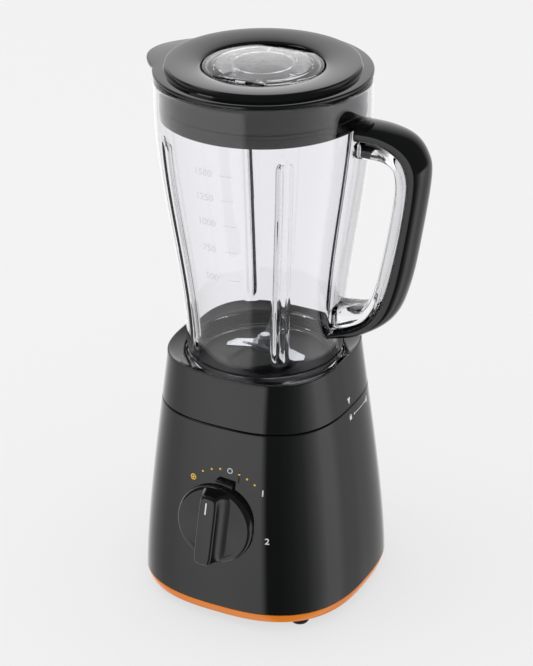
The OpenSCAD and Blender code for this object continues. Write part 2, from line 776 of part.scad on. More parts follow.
// Ramp that holds the interlock plunger down while the collar is locked
module interlock_cam() {
    run = plunger_at * sin(twist_deg);
    low = plunger_top + cam_clear;
    rotate([0, 0, 180]) translate([plunger_at - 5.8, 0, 0]) rotate([90, 0, 90])
        linear_extrude(8.6)
            polygon([[4, low], [0, low],
                [-run, low + plunger_rise + 0.5], [-run - 2.5, low + plunger_rise + 0.5],
                [-run - 2.5, floor_z + 1], [4, floor_z + 1]]);
}

module blade_carrier() color("#303236") difference() {
    union() {
        translate([0, 0, well_z]) cylinder(r = goblet_foot_r - 6.5, h = 3);
        translate([0, 0, hub_z]) cylinder(r = 17, h = well_z + 1 - hub_z);
        translate([0, 0, well_z + 3]) cylinder(r1 = 24, r2 = 11, h = 8.6);
    }
    translate([0, 0, hub_z - cut]) cylinder(r = shaft_r + 2, h = 40);
    translate([0, 0, well_z + 3 + 8.6 - 3]) cylinder(r = shaft_r + 4, h = 10);
    for (a = [30 : 120 : 270]) rotate([0, 0, a])
        translate([carrier_screw_at, 0, well_z - cut]) cylinder(r = 1.4, h = 3);
}

module carrier_screws() color("#c4c6c8") for (a = [30 : 120 : 270]) rotate([0, 0, a])
    translate([carrier_screw_at, 0, floor_z]) screw(1.4, 2.8, 1.6, well_floor_t + 1.8);

module goblet_seal() color("#d8d5cf") translate([0, 0, well_z]) tube(well_r - 0.4, goblet_foot_r - 6, seal_t);

module blade_bushes() color("#b08d57") {
    translate([0, 0, hub_z]) tube(shaft_r + 2, shaft_r + running_gap, 5);
    translate([0, 0, well_z + 3]) tube(shaft_r + 2, shaft_r + running_gap, 5);
}

module shaft_seal() color("#28292b") translate([0, 0, well_z + 3 + 5.6])
    tube(shaft_r + 4, shaft_r + running_gap, 2.4);

// ---- Blade set ----

blade_z = well_z + 3 + 8.6 + 1;
hub_plate_r = 9;
nut_z = blade_z + 2 * blade_t + 1;
nut_h = 4;

module blade_shaft() color("#d5d7d9")
    translate([0, 0, driver_top + 3]) cylinder(r = shaft_r, h = nut_z + nut_h - driver_top - 3);

module driven_dog() color("#3d3f43") difference() {
    union() {
        translate([0, 0, driven_disc_z]) cylinder(r = dog_r, h = driven_top - driven_disc_z);
        translate([0, 0, driver_top + 3]) cylinder(r = dog_in_r - 1, h = driven_top - driver_top - 3);
        for (i = [0 : dog_count - 1])
            translate([0, 0, driver_top + dog_gap])
                ring_sector(dog_in_r, dog_out_r, driven_disc_z + 1 - driver_top - dog_gap,
                    360 * (i + 0.5) / dog_count, dog_deg);
    }
    translate([0, 0, driver_top]) cylinder(r = shaft_r, h = 20);
}

module blade_spacer() color("#c4c6c8") {
    translate([0, 0, blade_z - 0.7]) tube(7, shaft_r, 0.7);
    translate([0, 0, blade_z + blade_t]) tube(7, shaft_r, 1);
}

// A pair of wings bent out of a flat strip: tilt is the bend, up or down
module blade_pair(z, tilt, length) {
    difference() {
        union() {
            translate([0, 0, z]) cylinder(r = hub_plate_r, h = blade_t);
            for (a = [0, 180]) rotate([0, 0, a])
                translate([hub_plate_r - 1.5, 0, z]) rotate([0, -tilt, 0])
                    linear_extrude(blade_t)
                        polygon([[0, -6.5], [length - 12, -7], [length - 7, -1], [length - 9, 5], [0, 6.5]]);
        }
        translate([0, 0, z - 10]) cylinder(r = shaft_r, h = 30);
    }
}

module lower_blades() color("#e2e4e6") blade_pair(blade_z, -12, blade_len);

module upper_blades() color("#e2e4e6") rotate([0, 0, 90]) blade_pair(blade_z + blade_t + 1, 32, blade_len - 3);

module blade_nut() color("#d5d7d9") translate([0, 0, nut_z]) difference() {
    union() {
        cylinder(r = shaft_r + 2, h = nut_h, $fn = 6);
        translate([0, 0, nut_h - 0.1]) cylinder(r1 = shaft_r + 0.8, r2 = shaft_r - 0.6, h = 2.1);
    }
    translate([0, 0, -cut]) cylinder(r = shaft_r, h = nut_h + cut);
}

// ---- Goblet ----

// The wall flares smoothly from the foot ring to the mouth
function flare(z) = let (t = min(1, max(0, (z - foot_ring_z) / flare_h))) t * t * (3 - 2 * t);
function goblet_r(z) = goblet_foot_r + (goblet_mouth_r - goblet_foot_r) * flare(z);
flare_steps = 14;
flare_line = [for (i = [0 : flare_steps])
    let (z = foot_ring_z + 3 + (flare_h - 3) * i / flare_steps) [goblet_r(z), z]];

// Solid that the outside (or the inside) of the goblet bounds
module goblet_solid(inset, over) {
    rotate_extrude($fn = 96) polygon(concat(
        [[0, neck_z - over], [neck_r - inset, neck_z - over], [neck_r - inset, foot_ring_z - 1 + inset / 2],
            [goblet_foot_r - inset, foot_ring_z + inset / 2]],
        [for (p = flare_line) [p[0] - inset, p[1]]],
        [[goblet_mouth_r - inset, mouth_z + over], [0, mouth_z + over]]
    ));
}

// Flat fin that follows the wall: from a depth inside it to another depth
module wall_fin(deep, shallow, width, z0, z1) {
    steps = 10;
    line = [for (i = [0 : steps]) z0 + (z1 - z0) * i / steps];
    rotate([90, 0, 0]) translate([0, 0, -width / 2]) linear_extrude(width)
        polygon(concat([for (z = line) [goblet_r(z) - deep, z]],
            [for (i = [steps : -1 : 0]) [goblet_r(line[i]) - shallow, line[i]]]));
}

flute_angles = [52, 128, 232, 308];
flute_top = foot_ring_z + flare_h - 20;
flute_foot = foot_ring_z + 8;

module goblet() color("#d6e2ea", 0.45) difference() {
    union() {
        goblet_solid(0, 0);
        translate([0, 0, neck_z + 2]) cylinder(r = neck_r + 1.6, h = 2.5);
        translate([0, 0, neck_z + 7]) cylinder(r = neck_r + 1.6, h = 2.5);
        difference() {
            rail();
            cover_shape();
        }
        tongue();
    }
    difference() {
        goblet_solid(goblet_wall, cut);
        for (a = flute_angles) rotate([0, 0, a])
            wall_fin(goblet_wall + flute_d, goblet_wall - 1, 11, flute_foot, flute_top);
    }
    for (a = flute_angles) rotate([0, 0, a])
        wall_fin(flute_d, -3, 5, flute_foot + 3, flute_top - 3);
}

// The handle's three edges in the plane y = 0, each through the same number of points
grip_top = mouth_z - 23.3;
grip_foot = foot_ring_z + 22;
handle_reach = 52.5;
function at_handle(out, up) = [goblet_mouth_r + out * handle_reach, grip_foot + up * (grip_top - grip_foot)];
outer_edge = spline([at_handle(-0.1, 1.005), at_handle(0.36, 1), at_handle(0.78, 0.965), at_handle(0.985, 0.87),
    at_handle(0.995, 0.81), at_handle(0.875, 0.54), at_handle(0.675, 0.275), at_handle(0.415, 0.13),
    at_handle(-0.01, 0.025), at_handle(-0.4, -0.02)], 4);
cover_edge = spline([at_handle(-0.1, 0.92), at_handle(0.25, 0.925), at_handle(0.54, 0.882),
    at_handle(0.665, 0.81),
    at_handle(0.67, 0.7), at_handle(0.545, 0.44), at_handle(0.38, 0.225), at_handle(0.21, 0.13),
    at_handle(0.0, 0.07), at_handle(-0.4, 0.012)], 4);
rail_edge = spline([at_handle(-0.1, 0.845), at_handle(0.25, 0.848), at_handle(0.46, 0.838),
    at_handle(0.525, 0.79),
    at_handle(0.505, 0.675), at_handle(0.38, 0.43), at_handle(0.265, 0.26), at_handle(0.165, 0.19),
    at_handle(0.03, 0.16), at_handle(-0.4, 0.14)], 4);
function between(a, b, t) = [for (i = [0 : len(a) - 1]) a[i] + (b[i] - a[i]) * t];
function reversed(a) = [for (i = [len(a) - 1 : -1 : 0]) a[i]];

module handle_bar(edge_a, edge_b, width) {
    rotate([90, 0, 0]) translate([0, 0, -width / 2]) linear_extrude(width)
        polygon(concat(edge_a, reversed(edge_b)));
}

tongue_w = 10;

module rail() handle_bar(between(cover_edge, outer_edge, 0.02), rail_edge, handle_w - 2);

module tongue() handle_bar(between(cover_edge, outer_edge, 0.5), between(cover_edge, rail_edge, 0.2), tongue_w);

module cover_shape() handle_bar(outer_edge, cover_edge, handle_w);

// Dark cover that wraps the outside of the handle and sits on the goblet's tongue
module handle_cover() color("#1f2022") difference() {
    cover_shape();
    goblet_solid(-0.1, 0);
    handle_bar(between(cover_edge, outer_edge, 0.5), between(cover_edge, rail_edge, 0.3), tongue_w);
}

// ---- Lid ----

module lid() color("#333437") {
    rotate_extrude($fn = 96) polygon([
        [lid_r, mouth_z], [lid_r, flange_top - 0.9], [lid_r - 0.9, flange_top],
        [crown_out + 0.5, flange_top], [crown_out, flange_top + 0.6], [crown_out - 0.3, crown_top - 1.6],
        [crown_out - 1.5, crown_top - 0.3], [crown_out - 4, crown_top],
        [(crown_out + filler_r) / 2, crown_top - 0.7],
        [filler_r + 1, crown_top - 2.4], [filler_r, crown_top - 3.2],
        [filler_r, ledge_z + 2], [filler_r - 5, ledge_z + 2], [filler_r - 5, ledge_z],
        [filler_r + 2.4, ledge_z], [filler_r + 2.4, crown_top - 5.2],
        [(crown_out + filler_r) / 2, crown_top - 3.1],
        [crown_out - 4.5, crown_top - 2.4], [crown_out - 2.8, crown_top - 3.4], [crown_out - 2.8, mouth_z],
        [skirt_r - skirt_wall, mouth_z - 3], [skirt_r - skirt_wall, skirt_z], [skirt_r, skirt_z],
        [skirt_r, seal_z], [skirt_r - seal_groove, seal_z], [skirt_r - seal_groove, seal_z + seal_h],
        [skirt_r, seal_z + seal_h], [skirt_r, mouth_z]
    ]);
    translate([0, 0, mouth_z]) linear_extrude(flange_top - mouth_z) difference() {
        tab_plan();
        circle(r = lid_r - 2);
    }
}

// Lift tab on the -X side, a rounded lobe that blends into the flange
module tab_plan() {
    half = 30;
    steps = 24;
    polygon([for (i = [0 : steps])
        let (a = -half + 2 * half * i / steps, swell = pow((1 + cos(180 * a / half)) / 2, 0.8),
            r = lid_r - 1 + (tab_reach + 1) * swell)
        [-r * cos(a), r * sin(a)]]);
}

module lid_seal() color("#6d7175") translate([0, 0, seal_z])
    tube(mouth_in_r - 0.4, skirt_r - seal_groove, seal_h);

module filler_cap() color("#dfe8ee", 0.5) {
    intersection() {
        rotate_extrude($fn = 96) polygon(concat(
            [[cap_r - cap_wall, cap_z], [cap_r, cap_z]],
            dome_line(cap_r, cap_top, cap_dome),
            reversed(dome_line(cap_r - cap_wall, cap_top - cap_wall, cap_dome))
        ));
        translate([-2 * cap_r, -cap_flat, cap_z - 1]) cube([4 * cap_r, 2 * cap_flat, 2 * skirt_h]);
    }
    translate([0, 0, plug_z]) tube(plug_r - 1, plug_r - 1 - cap_wall, cap_top + 0.4 - plug_z);
}

// Quarter of a flat ellipse from the cap's edge to its crown
function dome_line(r, z, rise) = [for (i = [0 : 8]) [r * cos(90 * i / 8), z + rise * sin(90 * i / 8)]];

casing();
trim_ring();
base_plate();
feet();
base_screws();
cord_gland();
motor_upper_bracket();
motor_lower_bracket();
motor_bolts();
motor_mounts();
motor_mount_screws();
stator_core();
field_coils();
upper_bearing();
lower_bearing();
brush_holders();
carbon_brushes();
speed_switch();
control_board();
board_parts();
board_screws();
interlock_switch();
interlock_screws();
interlock_spring();
wiring();
motor_shaft();
armature_core();
armature_winding();
commutator();
cooling_fan();
drive_dog();
interlock_plunger();
knob();
knob_shaft();
collar();
blade_carrier();
carrier_screws();
goblet_seal();
blade_bushes();
shaft_seal();
blade_shaft();
driven_dog();
blade_spacer();
lower_blades();
upper_blades();
blade_nut();
goblet();
handle_cover();
lid();
lid_seal();
filler_cap();
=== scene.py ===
# %% [markdown]
# # A countertop blender
# A power unit with a dial, a blade collar that twists onto it, a clear goblet with a covered
# handle, and a lid with a clear filler cap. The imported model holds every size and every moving
# part. This file gives the visible pieces their finished shapes, and every piece its finish.

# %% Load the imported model
import json
import math

import bmesh
import bpy
from mathutils import Matrix, Quaternion, Vector


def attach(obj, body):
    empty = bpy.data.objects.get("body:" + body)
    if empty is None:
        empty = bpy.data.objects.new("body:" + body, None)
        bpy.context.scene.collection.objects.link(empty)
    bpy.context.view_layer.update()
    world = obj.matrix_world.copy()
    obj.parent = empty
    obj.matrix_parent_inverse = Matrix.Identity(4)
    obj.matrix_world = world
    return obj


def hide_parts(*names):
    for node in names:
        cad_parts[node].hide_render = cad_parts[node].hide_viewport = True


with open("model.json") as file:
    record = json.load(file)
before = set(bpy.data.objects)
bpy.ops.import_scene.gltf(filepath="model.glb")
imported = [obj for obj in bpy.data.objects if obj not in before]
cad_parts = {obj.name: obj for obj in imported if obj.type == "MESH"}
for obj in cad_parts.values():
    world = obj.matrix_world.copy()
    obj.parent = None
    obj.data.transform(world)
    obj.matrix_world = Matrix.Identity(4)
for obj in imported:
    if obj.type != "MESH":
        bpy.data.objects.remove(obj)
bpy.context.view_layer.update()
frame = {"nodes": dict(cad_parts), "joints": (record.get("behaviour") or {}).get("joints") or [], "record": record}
nodes = frame["nodes"]
MM = 0.001

# %% [markdown]
# ## Camera
# A product picture is taken with a long lens from a little above, so upright lines stay nearly
# parallel. The camera stands to the right of the dial and looks down at the middle of the
# object. A roll of less than half a degree is part of the pose.

# %% Camera
VIEW_TURN = math.radians(27.3)
VIEW_DROP = math.radians(27.0)
VIEW_ROLL = math.radians(-0.41)
VIEW_DISTANCE = 1.5701
AIM = Vector((0.0, 0.0, 0.197))

away = Vector((
    math.sin(VIEW_TURN) * math.cos(VIEW_DROP),
    -math.cos(VIEW_TURN) * math.cos(VIEW_DROP),
    math.sin(VIEW_DROP),
))
camera_data = bpy.data.cameras.new("camera")
camera_data.sensor_width = 36.0
camera_data.lens = 118.1
camera_data.shift_x = 0.0021
camera_data.clip_start = 0.05
camera = bpy.data.objects.new("camera", camera_data)
bpy.context.scene.collection.objects.link(camera)
camera.location = AIM + away * VIEW_DISTANCE
camera_turn = away.to_track_quat("Z", "Y") @ Quaternion((0, 0, 1), VIEW_ROLL)
camera.rotation_euler = camera_turn.to_euler()
bpy.context.scene.camera = camera
print("camera at", [round(v, 3) for v in camera.location])

# %% [markdown]
# ## Two helpers for every material
# One helper turns an sRGB hex colour into the linear values that shaders use. The other adds one
# node with its settings, its values and its links.

# %% Colour and node helpers
def linear(hex_colour, gain=1.0):
    """sRGB hex such as "e8822b" as linear RGBA, made darker by a gain below 1."""
    parts = [int(hex_colour[i:i + 2], 16) / 255 for i in (0, 2, 4)]
    flat = [p / 12.92 if p <= 0.04045 else ((p + 0.055) / 1.055) ** 2.4 for p in parts]
    return [gain * p for p in flat] + [1.0]


def add(tree, kind, settings=None, inputs=None):
    """Adds a node. An input is a value, or a pair of a node and its output's name."""
    made = tree.nodes.new(kind)
    for name, value in (settings or {}).items():
        setattr(made, name, value)
    for name, value in (inputs or {}).items():
        if isinstance(value, tuple) and isinstance(value[0], bpy.types.Node):
            tree.links.new(value[0].outputs[value[1]], made.inputs[name])
        else:
            made.inputs[name].default_value = value
    return made


def start_material(name, **shader):
    """A material, its tree, its shader and its Object coordinates."""
    made = bpy.data.materials.new(name)
    made.use_nodes = True
    surface = made.node_tree.nodes["Principled BSDF"]
    for key, value in shader.items():
        surface.inputs[key.replace("_", " ")].default_value = value
    return made, made.node_tree, surface, add(made.node_tree, "ShaderNodeTexCoord")

# %% [markdown]
# ## Studio light
# Glossy black plastic shows the room, not its own colour, so the room is the main light. It could
# be built from lamps and cards, but a world shader holds the whole room in one place. Below the
# horizon it is a ring of white walls with dark openings, listed by heading. Above the horizon the
# side behind the object is bright and the camera's side is dark, which draws the black edges.
# Each wall's level is given at two elevations, by their sine. The room shows only after a glossy
# bounce: the camera sees a plain backdrop, and plain light comes from all round.

# %% World
TENT = [(-180, 1.15), (-170, 1.3), (-130, 1.5), (-110, 1.1), (-91, 0.8), (-73, 0.7), (-58, 0.85),
        (-46, 1.1), (-26, 1.35), (3.5, 1.33), (10.5, 0.08), (27, 0.08), (45, 0.15), (65, 0.32),
        (84, 0.8), (101, 1.4), (117, 1.25), (129, 0.75), (145, 0.55), (157, 0.65), (175, 0.85)]
TENT_TOP, SKY_BEHIND, SKY_BEFORE = 1.5, 1.45, 0.1
WALL_DEEP, WALL_SHALLOW = (-0.454, 0.85), (-0.242, 1.1)
SKY_FROM, SKY_FULL = -0.22, -0.1
BACKDROP = 0.9
world = bpy.data.worlds.new("studio")
world.use_nodes = True
bpy.context.scene.world = world
air = world.node_tree
heading = add(air, "ShaderNodeTexCoord")
axes = add(air, "ShaderNodeSeparateXYZ", None, {"Vector": (heading, "Generated")})
front = add(air, "ShaderNodeMath", {"operation": "MULTIPLY"}, {0: (axes, "Y"), 1: -1.0})
angle = add(air, "ShaderNodeMath", {"operation": "ARCTAN2"}, {0: (axes, "X"), 1: (front, 0)})
share = add(air, "ShaderNodeMapRange", None, {0: (angle, 0), 1: -math.pi, 2: math.pi})
walls = add(air, "ShaderNodeValToRGB", None, {0: (share, 0)})
stops = walls.color_ramp.elements
while len(stops) > 1:
    stops.remove(stops[0])
for i, (degrees, level) in enumerate(TENT):
    stop = stops[0] if i == 0 else stops.new((degrees + 180) / 360)
    stop.position = (degrees + 180) / 360
    stop.color = (*[level / TENT_TOP] * 3, 1.0)
fall = add(air, "ShaderNodeMapRange", None,
           {0: (axes, "Z"), 1: WALL_DEEP[0], 2: WALL_SHALLOW[0],
            3: WALL_DEEP[1] * TENT_TOP, 4: WALL_SHALLOW[1] * TENT_TOP})
tent = add(air, "ShaderNodeMath", {"operation": "MULTIPLY"}, {0: (walls, 0), 1: (fall, 0)})
aside = add(air, "ShaderNodeMath", {"operation": "MULTIPLY"},
            {0: (axes, "X"), 1: math.sin(VIEW_TURN)})
toward = add(air, "ShaderNodeMath", {"operation": "MULTIPLY_ADD"},
             {0: (front, 0), 1: math.cos(VIEW_TURN), 2: (aside, 0)})
sky = add(air, "ShaderNodeMapRange", None,
          {0: (toward, 0), 1: -1.0, 2: -0.3, 3: SKY_BEHIND, 4: SKY_BEFORE})
upward = add(air, "ShaderNodeMapRange", {"interpolation_type": "SMOOTHSTEP"},
             {0: (axes, "Z"), 1: SKY_FROM, 2: SKY_FULL, 3: 0.0, 4: 1.0})
room = add(air, "ShaderNodeMix", {"data_type": "FLOAT"},
           {0: (upward, 0), 2: (tent, 0), 3: (sky, 0)})
path = add(air, "ShaderNodeLightPath")
bounced = add(air, "ShaderNodeMath", {"operation": "MINIMUM"},
              {0: (path, "Glossy Depth"), 1: 1.0})
plain = add(air, "ShaderNodeMapRange", None, {0: (path, "Is Camera Ray"), 3: 1.0, 4: BACKDROP})
strength = add(air, "ShaderNodeMix", {"data_type": "FLOAT"},
               {0: (bounced, 0), 2: (plain, 0), 3: (room, 0)})
air.links.new(strength.outputs[0], air.nodes["Background"].inputs["Strength"])
air.nodes["Background"].inputs["Color"].default_value = (1, 1, 1, 1)
bpy.context.scene.view_settings.view_transform = "Standard"
print(len(TENT), "headings in the studio's walls")

# %% [markdown]
# ## Lamp and floor
# One large soft lamp at the left adds a little direction to the room's even light. The floor is
# white paper lit from below as well, so the shadow stays faint. It does not show in the gloss,
# where the room's walls take its place.

# %% Lamp and floor
LAMP_AT, LAMP_SIZE, LAMP_WATTS = (-0.95263, -0.55, 1.5), 0.7, 3.0
FLOOR_HALF, FLOOR_GLOW = 6.0, 0.63
lamp_data = bpy.data.lights.new("lamp_left", "AREA")
lamp_data.size, lamp_data.energy = LAMP_SIZE, LAMP_WATTS
lamp = bpy.data.objects.new("lamp_left", lamp_data)
bpy.context.scene.collection.objects.link(lamp)
lamp.location = LAMP_AT
lamp.rotation_euler = (lamp.location - AIM).to_track_quat("Z", "Y").to_euler()

floor_shape = bmesh.new()
bmesh.ops.create_grid(floor_shape, x_segments=1, y_segments=1, size=FLOOR_HALF)
floor_mesh = bpy.data.meshes.new("floor")
floor_shape.to_mesh(floor_mesh)
floor_shape.free()
floor = bpy.data.objects.new("floor", floor_mesh)
bpy.context.scene.collection.objects.link(floor)
floor.visible_glossy = False
paper, paper_tree, paper_surface, paper_place = start_material(
    "backlit_paper_white", Roughness=1.0, Specular_IOR_Level=0.0,
    Emission_Color=(1, 1, 1, 1), Emission_Strength=FLOOR_GLOW)
tooth = add(paper_tree, "ShaderNodeTexNoise", None,
            {"Vector": (paper_place, "Object"), "Scale": 1 / (2.0 * MM), "Detail": 2.0})
sheet = add(paper_tree, "ShaderNodeMix", {"data_type": "RGBA"},
            {0: (tooth, "Fac"), 6: linear("888888"), 7: linear("8a8a8a")})
paper_tree.links.new(sheet.outputs[2], paper_surface.inputs["Base Color"])
floor_mesh.materials.append(paper)
print("a lamp of", LAMP_WATTS, "W and a floor", 2 * FLOOR_HALF, "m wide")

# %% [markdown]
# ## Plastics
# Gloss ABS comes from a polished mould, so it is almost a mirror. What shows is a trace of long
# waves where the melt shrank, about 30 mm apart and microns high, and soft smears from handling.
# Matt mouldings come from a spark-eroded mould, whose texture is a fine and even grain of a few
# tenths of a millimetre.

# %% Plastic finishes
def gloss_plastic(name, colour, smooth, smeared, wave):
    """Polished plastic: two roughnesses, clean and smeared, and the strength of its waves."""
    made, tree, surface, place = start_material(name, IOR=1.52, Base_Color=linear(colour))
    smears = add(tree, "ShaderNodeTexNoise", None,
                 {"Vector": (place, "Object"), "Scale": 1 / (22 * MM), "Detail": 4.0})
    rough = add(tree, "ShaderNodeMapRange", None,
                {0: (smears, "Fac"), 1: 0.35, 2: 0.65, 3: smooth, 4: smeared})
    tree.links.new(rough.outputs[0], surface.inputs["Roughness"])
    waves = add(tree, "ShaderNodeTexNoise", None,
                {"Vector": (place, "Object"), "Scale": 1 / (30 * MM), "Detail": 0.0})
    tilt = add(tree, "ShaderNodeBump", None,
               {"Height": (waves, "Fac"), "Strength": wave, "Distance": 0.05 * MM})
    tree.links.new(tilt.outputs[0], surface.inputs["Normal"])
    return made


def matt_plastic(name, colour, rough, grain_mm, relief):
    """Textured plastic: a fine even grain, and a colour that clouds over slightly."""
    made, tree, surface, place = start_material(name, IOR=1.52, Roughness=rough)
    cloud = add(tree, "ShaderNodeTexNoise", None,
                {"Vector": (place, "Object"), "Scale": 1 / (18 * MM), "Detail": 3.0})
    shade = add(tree, "ShaderNodeMix", {"data_type": "RGBA"},
                {0: (cloud, "Fac"), 6: linear(colour, 0.8), 7: linear(colour, 1.1)})
    tree.links.new(shade.outputs[2], surface.inputs["Base Color"])
    fine = add(tree, "ShaderNodeTexNoise", None,
               {"Vector": (place, "Object"), "Scale": 1 / (grain_mm * MM), "Detail": 2.0})
    tilt = add(tree, "ShaderNodeBump", None,
               {"Height": (fine, "Fac"), "Strength": relief, "Distance": 0.03 * MM})
    tree.links.new(tilt.outputs[0], surface.inputs["Normal"])
    return made

# %% [markdown]
# ## Metals
# Turned shafts and ground blades carry fine lines from the tool, which are a noise that is
# stretched along one axis. Castings, laminations and sintered bushes are duller and even. A
# metal keeps the default IOR and takes its look from its colour and roughness.

# %% Metal finishes
def worked_metal(name, colour, rough, line_mm, stretch, relief):
    """Metal with tool lines, whose pattern is scaled along X, Y and Z by stretch."""
    made, tree, surface, place = start_material(name, Metallic=1.0, Base_Color=linear(colour))
    mapped = add(tree, "ShaderNodeMapping", None, {"Vector": (place, "Object"), "Scale": stretch})
    lines = add(tree, "ShaderNodeTexNoise", None,
                {"Vector": (mapped, "Vector"), "Scale": 1 / (line_mm * MM), "Detail": 3.0})
    level = add(tree, "ShaderNodeMapRange", None,
                {0: (lines, "Fac"), 1: 0.3, 2: 0.7, 3: rough * 0.7, 4: rough * 1.3})
    tree.links.new(level.outputs[0], surface.inputs["Roughness"])
    tilt = add(tree, "ShaderNodeBump", None,
               {"Height": (lines, "Fac"), "Strength": relief, "Distance": 0.02 * MM})
    tree.links.new(tilt.outputs[0], surface.inputs["Normal"])
    return made

# %% [markdown]
# ## Clear copolyester
# The goblet and the filler cap are injection moulded in a clear copolyester. It bends light
# about as much as glass, its blue tint is almost too faint to see, and the flow of the melt
# leaves waves too shallow to feel. The tint is the colour of the transmitted light.

# %% Clear finish
def clear_plastic(name, colour, relief):
    """Clear plastic with shallow flow lines, which are also the faintest bit rough."""
    made, tree, surface, place = start_material(
        name, IOR=1.5, Base_Color=linear(colour), Transmission_Weight=1.0)
    streaks = add(tree, "ShaderNodeTexNoise", None,
                  {"Vector": (place, "Object"), "Scale": 1 / (16 * MM), "Detail": 2.0})
    rough = add(tree, "ShaderNodeMapRange", None,
                {0: (streaks, "Fac"), 1: 0.3, 2: 0.7, 3: 0.0, 4: 0.02})
    tree.links.new(rough.outputs[0], surface.inputs["Roughness"])
    tilt = add(tree, "ShaderNodeBump", None,
               {"Height": (streaks, "Fac"), "Strength": relief, "Distance": 0.06 * MM})
    tree.links.new(tilt.outputs[0], surface.inputs["Normal"])
    return made

# %% [markdown]
# ## One finish for each slot
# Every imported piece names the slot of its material. Each slot has one finish, and each packed
# piece gets its slot's finish here.

# %% One finish for each slot
ALL_WAYS, ROUND_LINES = (1, 1, 1), (0.1, 0.1, 1)
finishes = {
    "gloss_black_abs": gloss_plastic("gloss_abs_black", "0c0d0e", 0.05, 0.1, 0.25),
    "knob_black_abs": gloss_plastic("satin_abs_black", "101011", 0.12, 0.18, 0.2),
    "orange_trim": gloss_plastic("gloss_abs_orange", "e07c16", 0.18, 0.24, 0.2),
    "black_plastic": matt_plastic("moulded_nylon_black", "17181a", 0.45, 0.3, 0.12),
    "black_rubber": matt_plastic("moulded_rubber_black", "141414", 0.8, 0.7, 0.5),
    "grey_seal": matt_plastic("silicone_grey", "8f9294", 0.5, 0.9, 0.2),
    "zinc_steel": worked_metal("zinc_plated_steel", "b9bdc0", 0.35, 0.5, ALL_WAYS, 0.3),
    "cast_bracket": worked_metal("die_cast_aluminium", "a3a6a8", 0.5, 0.9, ALL_WAYS, 0.5),
    "lamination_steel": worked_metal("stacked_laminations", "6f7378", 0.4, 0.5, ROUND_LINES, 0.6),
    "copper": worked_metal("enamelled_copper", "b5622d", 0.3, 0.5, (0.3, 0.3, 1), 0.6),
    "bronze": worked_metal("sintered_bronze", "a98350", 0.5, 0.3, ALL_WAYS, 0.5),
    "brown_phenolic": matt_plastic("moulded_phenolic_brown", "4a2b17", 0.45, 0.6, 0.4),
    "carbon": matt_plastic("pressed_carbon", "26262a", 0.6, 0.3, 0.5),
    "cream_plastic": matt_plastic("moulded_nylon_cream", "cfc7b1", 0.45, 0.5, 0.4),
    "circuit_board": gloss_plastic("lacquered_circuit_board", "1f5a34", 0.25, 0.35, 0.1),
    "board_components": gloss_plastic("moulded_components", "24262c", 0.3, 0.4, 0.1),
    "wire_sleeve": matt_plastic("silicone_wire_sleeve", "6b2318", 0.5, 0.6, 0.2),
    "turned_steel": worked_metal("turned_steel", "c9cccf", 0.2, 0.3, ROUND_LINES, 0.3),
    "blade_steel": worked_metal("ground_blade_steel", "d4d7da", 0.2, 0.25, (1, 0.08, 1), 0.3),
    "clear_copolyester": clear_plastic("clear_copolyester", "fdfdff", 0.1),
}
slot_of = {row["node"]: row["material_slot"] for row in frame["record"]["subparts"]}
for name, thing in nodes.items():
    thing.data.materials.clear()
    thing.data.materials.append(finishes[slot_of[name]])
print(len(finishes), "finishes for", len(nodes), "packed pieces")

# %% [markdown]
# ## Printing inks
# The marks are pad printed: a soft pad carries a film of ink a few hundredths of a millimetre
# thick. The ink covers evenly but for a faint mottle, and is less glossy than the plastic.

# %% Inks
INK_COLOURS = {"ink_white": "dfe1e0", "ink_yellow": "ffcf48"}
inks = {}
for ink_name, ink_colour in INK_COLOURS.items():
    ink, ink_tree, ink_surface, ink_place = start_material(ink_name, IOR=1.48, Roughness=0.45)
    mottle = add(ink_tree, "ShaderNodeTexNoise", None,
                 {"Vector": (ink_place, "Object"), "Scale": 1 / (0.8 * MM), "Detail": 2.0})
    film = add(ink_tree, "ShaderNodeMix", {"data_type": "RGBA"},
               {0: (mottle, "Fac"), 6: linear(ink_colour, 0.9), 7: linear(ink_colour, 1.05)})
    ink_tree.links.new(film.outputs[2], ink_surface.inputs["Base Color"])
    inks[ink_name] = ink
print("inks:", *inks)

# %% [markdown]
# ## Helpers for skins and pieces
# Most of this object's mouldings are skins that run through rings: a circle's vertices take the
# first ring's shape, and are then extruded from ring to ring. A spin would only give round
# shapes, and a subdivided cage would not hit the sizes, so extruded rings suit all of them.

# %% Skin and piece helpers
def skin(bm, rings, closed=False):
    """Extrudes a circle's vertices through rings of places. Returns the last ring's vertices.

    A closed skin's last ring is moved onto its first, so its own places are not used.
    """
    count = len(rings[0])
    ring = bmesh.ops.create_circle(bm, segments=count, radius=1.0)["verts"]
    first = ring
    for v, place in zip(ring, rings[0]):
        v.co = place
    for places in rings[1:]:
        edges = [bm.edges.get((a, b)) for a, b in zip(ring, ring[1:] + ring[:1])]
        made = bmesh.ops.extrude_edge_only(bm, edges=edges)["geom"]
        fresh = {g for g in made if isinstance(g, bmesh.types.BMVert)}
        ring = [next(e.other_vert(v) for e in v.link_edges if e.other_vert(v) in fresh)
                for v in ring]
        for v, place in zip(ring, places):
            v.co = place
    if closed:
        for v, mate in zip(ring, first):
            v.co = mate.co
    return ring


